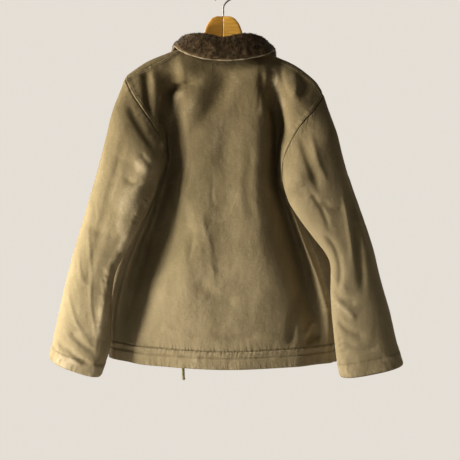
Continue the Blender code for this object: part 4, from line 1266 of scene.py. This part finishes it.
def make_flap(fronts, shell, thread):
    """The flap over the fronts' edges, with a row of stitches down each of its sides."""
    cols = 4 * FINE
    left, right = fronts[LEFT], fronts[RIGHT]
    last = len(left)
    xs = np.linspace(FLAP_WIDTH / 2, -FLAP_WIDTH / 2, cols + 1)
    rows = []
    for i in range(FINE, last - 3 * FINE):
        line = np.vstack([left[i, -cols:], right[i, -cols:]])
        line = line[np.argsort(line[:, 0])]
        lift = np.interp(i, (last - 9 * FINE, last - 4 * FINE), (2.4, 3.4))
        y = np.interp(xs, line[:, 0], line[:, 1]) - lift
        rows.append(np.stack([xs, y, np.interp(xs, line[:, 0], line[:, 2])], axis=1))
    inner = np.array(rows)
    up, across = edge_distances(inner, False)
    edge = np.minimum(across, across[:, -1:] - across)
    thick = FLAP_CLOTH + 0.5 * unevenness(inner, 30, 8) - 0.5 * hill(edge - FLAP_STITCHES, 1.5)
    outer = inner - thick[..., None] * (0, 1, 0)
    marks = {"wear_and_shade": 0.5 + 0.3 * np.exp(-edge / 3)}
    mesh = wall("front_flap_cloth", outer, inner, False, (up, across), marks)
    put("front_flap_cloth", mesh, shell, "shell_cloth", "front_flap")
    ways = np.broadcast_to((0.0, -1.0, 0.0), outer.shape)
    lines = [(*inset_line(outer, ways, up, across, which, FLAP_STITCHES), STITCH_PITCH, 0.1)
             for which in ("start", "end")]
    put("flap_stitches", stitch_mesh("flap_stitches", lines), thread, "shell_cloth")


def collar_base(back, fronts):
    """The neck seam that the collar stands on, evened out."""
    left = fronts[LEFT][-1, SHOULDER_COLS:][::-1]
    middle = back[-1, SHOULDER_COLS:BACK_COLS - SHOULDER_COLS + 1]
    right = fronts[RIGHT][-1, SHOULDER_COLS:]
    line = np.vstack([left, middle[1:-1], right])
    run = lengths(line)
    base = read_at(line, run, np.linspace(COLLAR_END, run[-1] - COLLAR_END, COLLAR_COLS + 1))
    for _ in range(FINE * FINE // 2):
        base[1:-1, :2] = (base[:-2, :2] + 2 * base[1:-1, :2] + base[2:, :2]) / 4
    return base


def collar_grid(back, fronts):
    """The face between pile and cloth: columns along the neck, rows over the roll to the edge."""
    half = {}
    for side in (LEFT, RIGHT):
        table = np.array(COLLAR[side], float)
        table[:, 0] *= -side
        table[:, 1] *= side
        table[:, 4] *= side
        half[side] = table
    table = np.vstack([half[LEFT][::-1], half[RIGHT][1:]])
    stations = spline(table[:, 0], table[:, 1:], np.linspace(-1, 1, COLLAR_COLS + 1))
    paths = []
    for start, row in zip(collar_base(back, fronts), stations):
        roll, fall = row[:3], row[3:]
        start = start + (0, 0, 0.8)
        way = np.array([fall[0] - start[0], fall[1] - start[1], 0.0])
        way /= np.linalg.norm(way)
        up = np.array([0, 0, 1.0])
        stand_top = roll - ROLL_RADIUS * (way + up)
        fall_top = roll + ROLL_RADIUS * (way - up)
        foot = start + STAND_FOOT * up
        knots = np.array([start, foot, (foot + stand_top) / 2, stand_top, roll, fall_top,
                          (fall_top + fall) / 2 + 1.5 * way, fall])
        paths.append(spline(np.arange(8), knots, np.linspace(0, 7, 7 * FINE + 1)))
    return np.array(paths).transpose(1, 0, 2)


def make_collar(back, fronts):
    """The collar's pile face with its tufts, and its shell side rolled out along the edge."""
    grid = collar_grid(back, fronts)
    normal = smoothed(-grid_normals(grid, False), False, FINE)
    chart = edge_distances(grid, False)
    up = chart[0]
    from_edge = up[-1:] - up
    clump = unevenness(grid, 9, 21) + 0.7 * unevenness(grid, 4.5, 22)
    thick = np.interp(np.arange(len(grid)), (0, 3 * FINE), (PILE_FOOT, COLLAR_PILE))[:, None]
    thick = thick * np.clip(0.25 + (from_edge / 5) ** 0.5, 0, 1) + 0.55 * clump
    pile = grid + np.maximum(thick, 0.8)[..., None] * normal
    brown = pile_finish()
    # painted shade where the pile is thin, paler on its thick clumps
    mesh = wall("collar_pile_face", pile, grid + 0.2 * normal, False, chart,
                {"wear_and_shade": np.clip(0.3 + 0.4 * clump, 0, 1)})
    put("collar_pile_face", mesh, brown, "collar_pile", "collar_pile")
    put("collar_pile_tufts", tuft_mesh(pile, normal, from_edge), brown, "collar_pile")
    khaki = collar_cloth_finish()
    mesh = wall("collar_cloth_face", grid, grid - COLLAR_SHELL * normal, False, chart, {})
    cloth = put("collar_cloth_face", mesh, khaki, "collar_cloth", "collar_cloth")
    rim = grid[-1] + 0.6 * normal[-1]
    ends = 4 * FINE
    route = np.vstack([grid[-ends:-1, 0], rim, grid[::-1, -1][1:ends]])
    swell = 1.7 + 0.55 * unevenness(route, 11, 31)
    edge = put("collar_edge_roll", tube_mesh("collar_edge_roll", route, swell, 10), khaki, "collar_cloth")


def tuft_mesh(pile, normal, from_edge):
    """Short curled tufts standing out of the pile."""
    rng = np.random.default_rng(5)
    rows, cols = pile.shape[:2]
    points, faces, shade = [], [], []
    row = rng.integers(2 * FINE, rows - 1, TUFTS)
    col = rng.integers(0, cols - 1, TUFTS)
    for i, j, f, g in zip(row, col, rng.random(TUFTS), rng.random(TUFTS)):
        low = pile[i, j] * (1 - f) + pile[i, j + 1] * f
        high = pile[i + 1, j] * (1 - f) + pile[i + 1, j + 1] * f
        up = normal[i, j]
        root = low * (1 - g) + high * g - 0.8 * up
        way = up + rng.normal(0, 0.55, 3) + (0, 0, -0.35)
        way /= np.linalg.norm(way)
        side = np.cross(way, rng.normal(0, 1, 3))
        side /= np.linalg.norm(side)
        other = np.cross(way, side)
        size = rng.uniform(2.2, 4.2) * (0.7 if from_edge[i, j] < 6 else 1.0)
        wide = rng.uniform(0.35, 0.8)
        curl = side * rng.uniform(-1.0, 1.0)
        mid = root + way * size * 0.6 + curl * 0.3
        n = len(points)
        for centre, out, back, aside in ((root, 1.0, 0.5, 0.86), (mid, 0.8, 0.4, 0.7)):
            points += [centre + side * wide * out,
                       centre + (other * aside - side * back) * wide,
                       centre - (other * aside + side * back) * wide]
        points.append(root + way * size + curl)
        for k, m in ((0, 1), (1, 2), (2, 0)):
            faces += [(n + k, n + m, n + 3 + m, n + 3 + k), (n + 3 + k, n + 3 + m, n + 6)]
        faces.append((n + 2, n + 1, n))
        # painted shade at each tuft's root, paler towards its tip
        shade += [0.15] * 3 + [0.4] * 3 + [rng.uniform(0.4, 1.0)]
    mesh = mesh_of("collar_pile_tufts", points, faces)
    layer = mesh.attributes.new("wear_and_shade", "FLOAT", "POINT")
    layer.data.foreach_set("value", np.array(shade, np.float32))
    return mesh


def arm_top(side, out):
    """Height of a hanger arm's top, close under the cloth of the solids."""
    slope = (ridge_height(side, out + 4) - ridge_height(side, out - 4)) / 8
    return ridge_height(side, out) - SOLID_CLOTH * math.hypot(1, slope) - ARM_TOP_GAP


def arm_section(out, side, top, height, half, square):
    """One section of a hanger arm, rounder where square is near 1."""
    turn = np.arange(ARM_SIDES) * 2 * math.pi / ARM_SIDES
    deep = np.sign(np.cos(turn)) * np.abs(np.cos(turn)) ** square
    high = np.sign(np.sin(turn)) * np.abs(np.sin(turn)) ** square
    x = np.full(ARM_SIDES, side * out)
    return np.stack([x, arm_depth(out) + half * deep, top - height / 2 + height / 2 * high], axis=1)


def make_arm(name, side, finish):
    """Half of the wooden hanger, from the mitre in its crown to its rounded tip."""
    table = [list(row) for row in CROWN_SECTIONS]
    for share in ARM_STATIONS:
        out = share * ARM_REACH[side]
        table.append([out, arm_top(side, out), ARM_HEIGHT, ARM_HALF, 1.0])
    table = np.array(table)
    outs = np.concatenate([np.linspace(table[0, 0], 60, 40), np.linspace(60, ARM_REACH[side], 40)[1:]])
    fine = np.stack([np.interp(outs, table[:, 0], table[:, k]) for k in range(5)], axis=1)
    for _ in range(3):
        fine[1:-1, 1:4] = (fine[:-2, 1:4] + 2 * fine[1:-1, 1:4] + fine[2:, 1:4]) / 4
    sections = [arm_section(row[0], side, *row[1:]) for row in fine]
    out, top, height, half, square = fine[-1]
    for step, drop, share in ARM_TIP:
        sections.append(arm_section(out + step, side, top - drop, height * share, half * share, square))
    grid = np.array(sections)
    if side == LEFT:
        grid = grid[:, ::-1]
    faces = [tuple(reversed(face)) for face in tube_faces(*grid.shape[:2])]
    put(name + "_wood", mesh_of(name, grid, faces), finish, "hanger_wood", name)


def make_hook(finish):
    """The bent wire: a straight stem out of the crown, and an open round hook."""
    turn = np.radians(np.linspace(HOOK_START, HOOK_END, HOOK_STEPS))
    ring = [(HOOK_RADIUS * math.cos(a), 0.0, HOOK_CENTRE_Z + HOOK_RADIUS * math.sin(a)) for a in turn]
    stem = even_path([(x, 0.0, z) for x, z in STEM] + ring[:2], 24)[:-1]
    route = np.vstack([stem, ring[1:]])
    put("hook_wire", tube_mesh("hook_wire", route, HOOK_WIRE, 16), finish, "hook_metal", "hanger_hook")


def make_buttons(finish, thread):
    """Each button with a raised rim, a dished middle and crossed threads, in its solid's place."""
    for number in range(1, BUTTON_COUNT + 1):
        name = f"button_{number}"
        low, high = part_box(name)
        centre = (low + high) / 2
        bpy.ops.mesh.primitive_cylinder_add(vertices=48, radius=BUTTON_RADIUS * MM,
                                            depth=BUTTON_THICK * MM, location=centre,
                                            rotation=(math.pi / 2, 0, 0))
        button = bpy.context.object
        bpy.ops.object.mode_set(mode="EDIT")
        bpy.ops.mesh.select_all(action="DESELECT")
        bpy.ops.object.mode_set(mode="OBJECT")
        face = min(button.data.polygons, key=lambda p: (button.matrix_world @ p.center).y)
        face.select = True
        bpy.ops.object.mode_set(mode="EDIT")
        bpy.ops.mesh.select_mode(type="FACE")
        bpy.ops.mesh.inset(thickness=BUTTON_RIM * MM, depth=0.0)
        bpy.ops.mesh.inset(thickness=BUTTON_DISH * MM, depth=-BUTTON_DISH * MM)
        bpy.ops.object.mode_set(mode="OBJECT")
        rim = button.modifiers.new("rim", "BEVEL")
        rim.width = 0.5 * MM
        rim.segments = 3
        rim.limit_method = "ANGLE"
        bpy.ops.object.modifier_apply(modifier="rim")
        bpy.ops.object.transform_apply(location=True, rotation=True, scale=True)
        button.name = name + "_face"
        button.data.materials.append(finish)
        button.data.polygons.foreach_set("use_smooth", np.ones(len(button.data.polygons), bool))
        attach(button, "root")
        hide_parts(name)
        step = np.linspace(0, 1, 6)
        reach = THREAD_REACH * (2 * step - 1)
        arch = low.y / MM + THREAD_ROOT - THREAD_RISE * np.sin(math.pi * step)
        crossed = [np.stack([centre.x / MM + reach, arch, centre.z / MM + way * reach], axis=1)
                   for way in (1, -1)]
        threads = tubes_mesh(name + "_thread", [tube(line, THREAD_RADIUS, 8) for line in crossed])
        put(name + "_thread", threads, thread, "shell_cloth")


def make_stage():
    """Floor, lights and a room that is pale behind the jacket and dark towards the camera."""
    bpy.ops.mesh.primitive_plane_add(size=FLOOR_SIZE, location=(0, 0, FLOOR_HEIGHT))
    floor = bpy.context.object
    floor.name = "floor"
    floor.data.materials.append(floor_finish())
    world = bpy.data.worlds.new("studio")
    bpy.context.scene.world = world
    world.use_nodes = True
    tree = world.node_tree
    way = tree.nodes.new("ShaderNodeTexCoord")
    parts = tree.nodes.new("ShaderNodeSeparateXYZ")
    shift = tree.nodes.new("ShaderNodeMath")
    shift.inputs[1].default_value = 0.5
    fade = tree.nodes.new("ShaderNodeValToRGB")
    for stop, at, colour in zip(fade.color_ramp.elements, (0.1, 0.6), (WALL_PALE, ROOM_DARK)):
        stop.position = at
        stop.color = colour
    tree.links.new(way.outputs["Generated"], parts.inputs[0])
    tree.links.new(parts.outputs["Y"], shift.inputs[0])
    tree.links.new(shift.outputs[0], fade.inputs[0])
    tree.links.new(fade.outputs[0], tree.nodes["Background"].inputs["Color"])
    for name, place, size, power, colour in LIGHTS:
        lamp = bpy.data.lights.new(name, "AREA")
        lamp.size = size
        lamp.energy = power
        lamp.color = colour
        light = bpy.data.objects.new(name, lamp)
        light.location = JACKET_MIDDLE + Vector(place)
        light.rotation_euler = (-Vector(place)).to_track_quat("-Z", "Y").to_euler()
        bpy.context.scene.collection.objects.link(light)
    bpy.context.scene.view_settings.view_transform = "Standard"


place_camera()
make_drawcord()
shell = shell_finish()
thread = thread_finish()
back, fronts = make_cloth(shell, thread)
make_flap(fronts, shell, thread)
make_collar(back, fronts)
wood = wood_finish()
make_arm("hanger_arm_left", LEFT, wood)
make_arm("hanger_arm_right", RIGHT, wood)
make_hook(wire_finish())
make_buttons(button_finish(), thread)
make_stage()
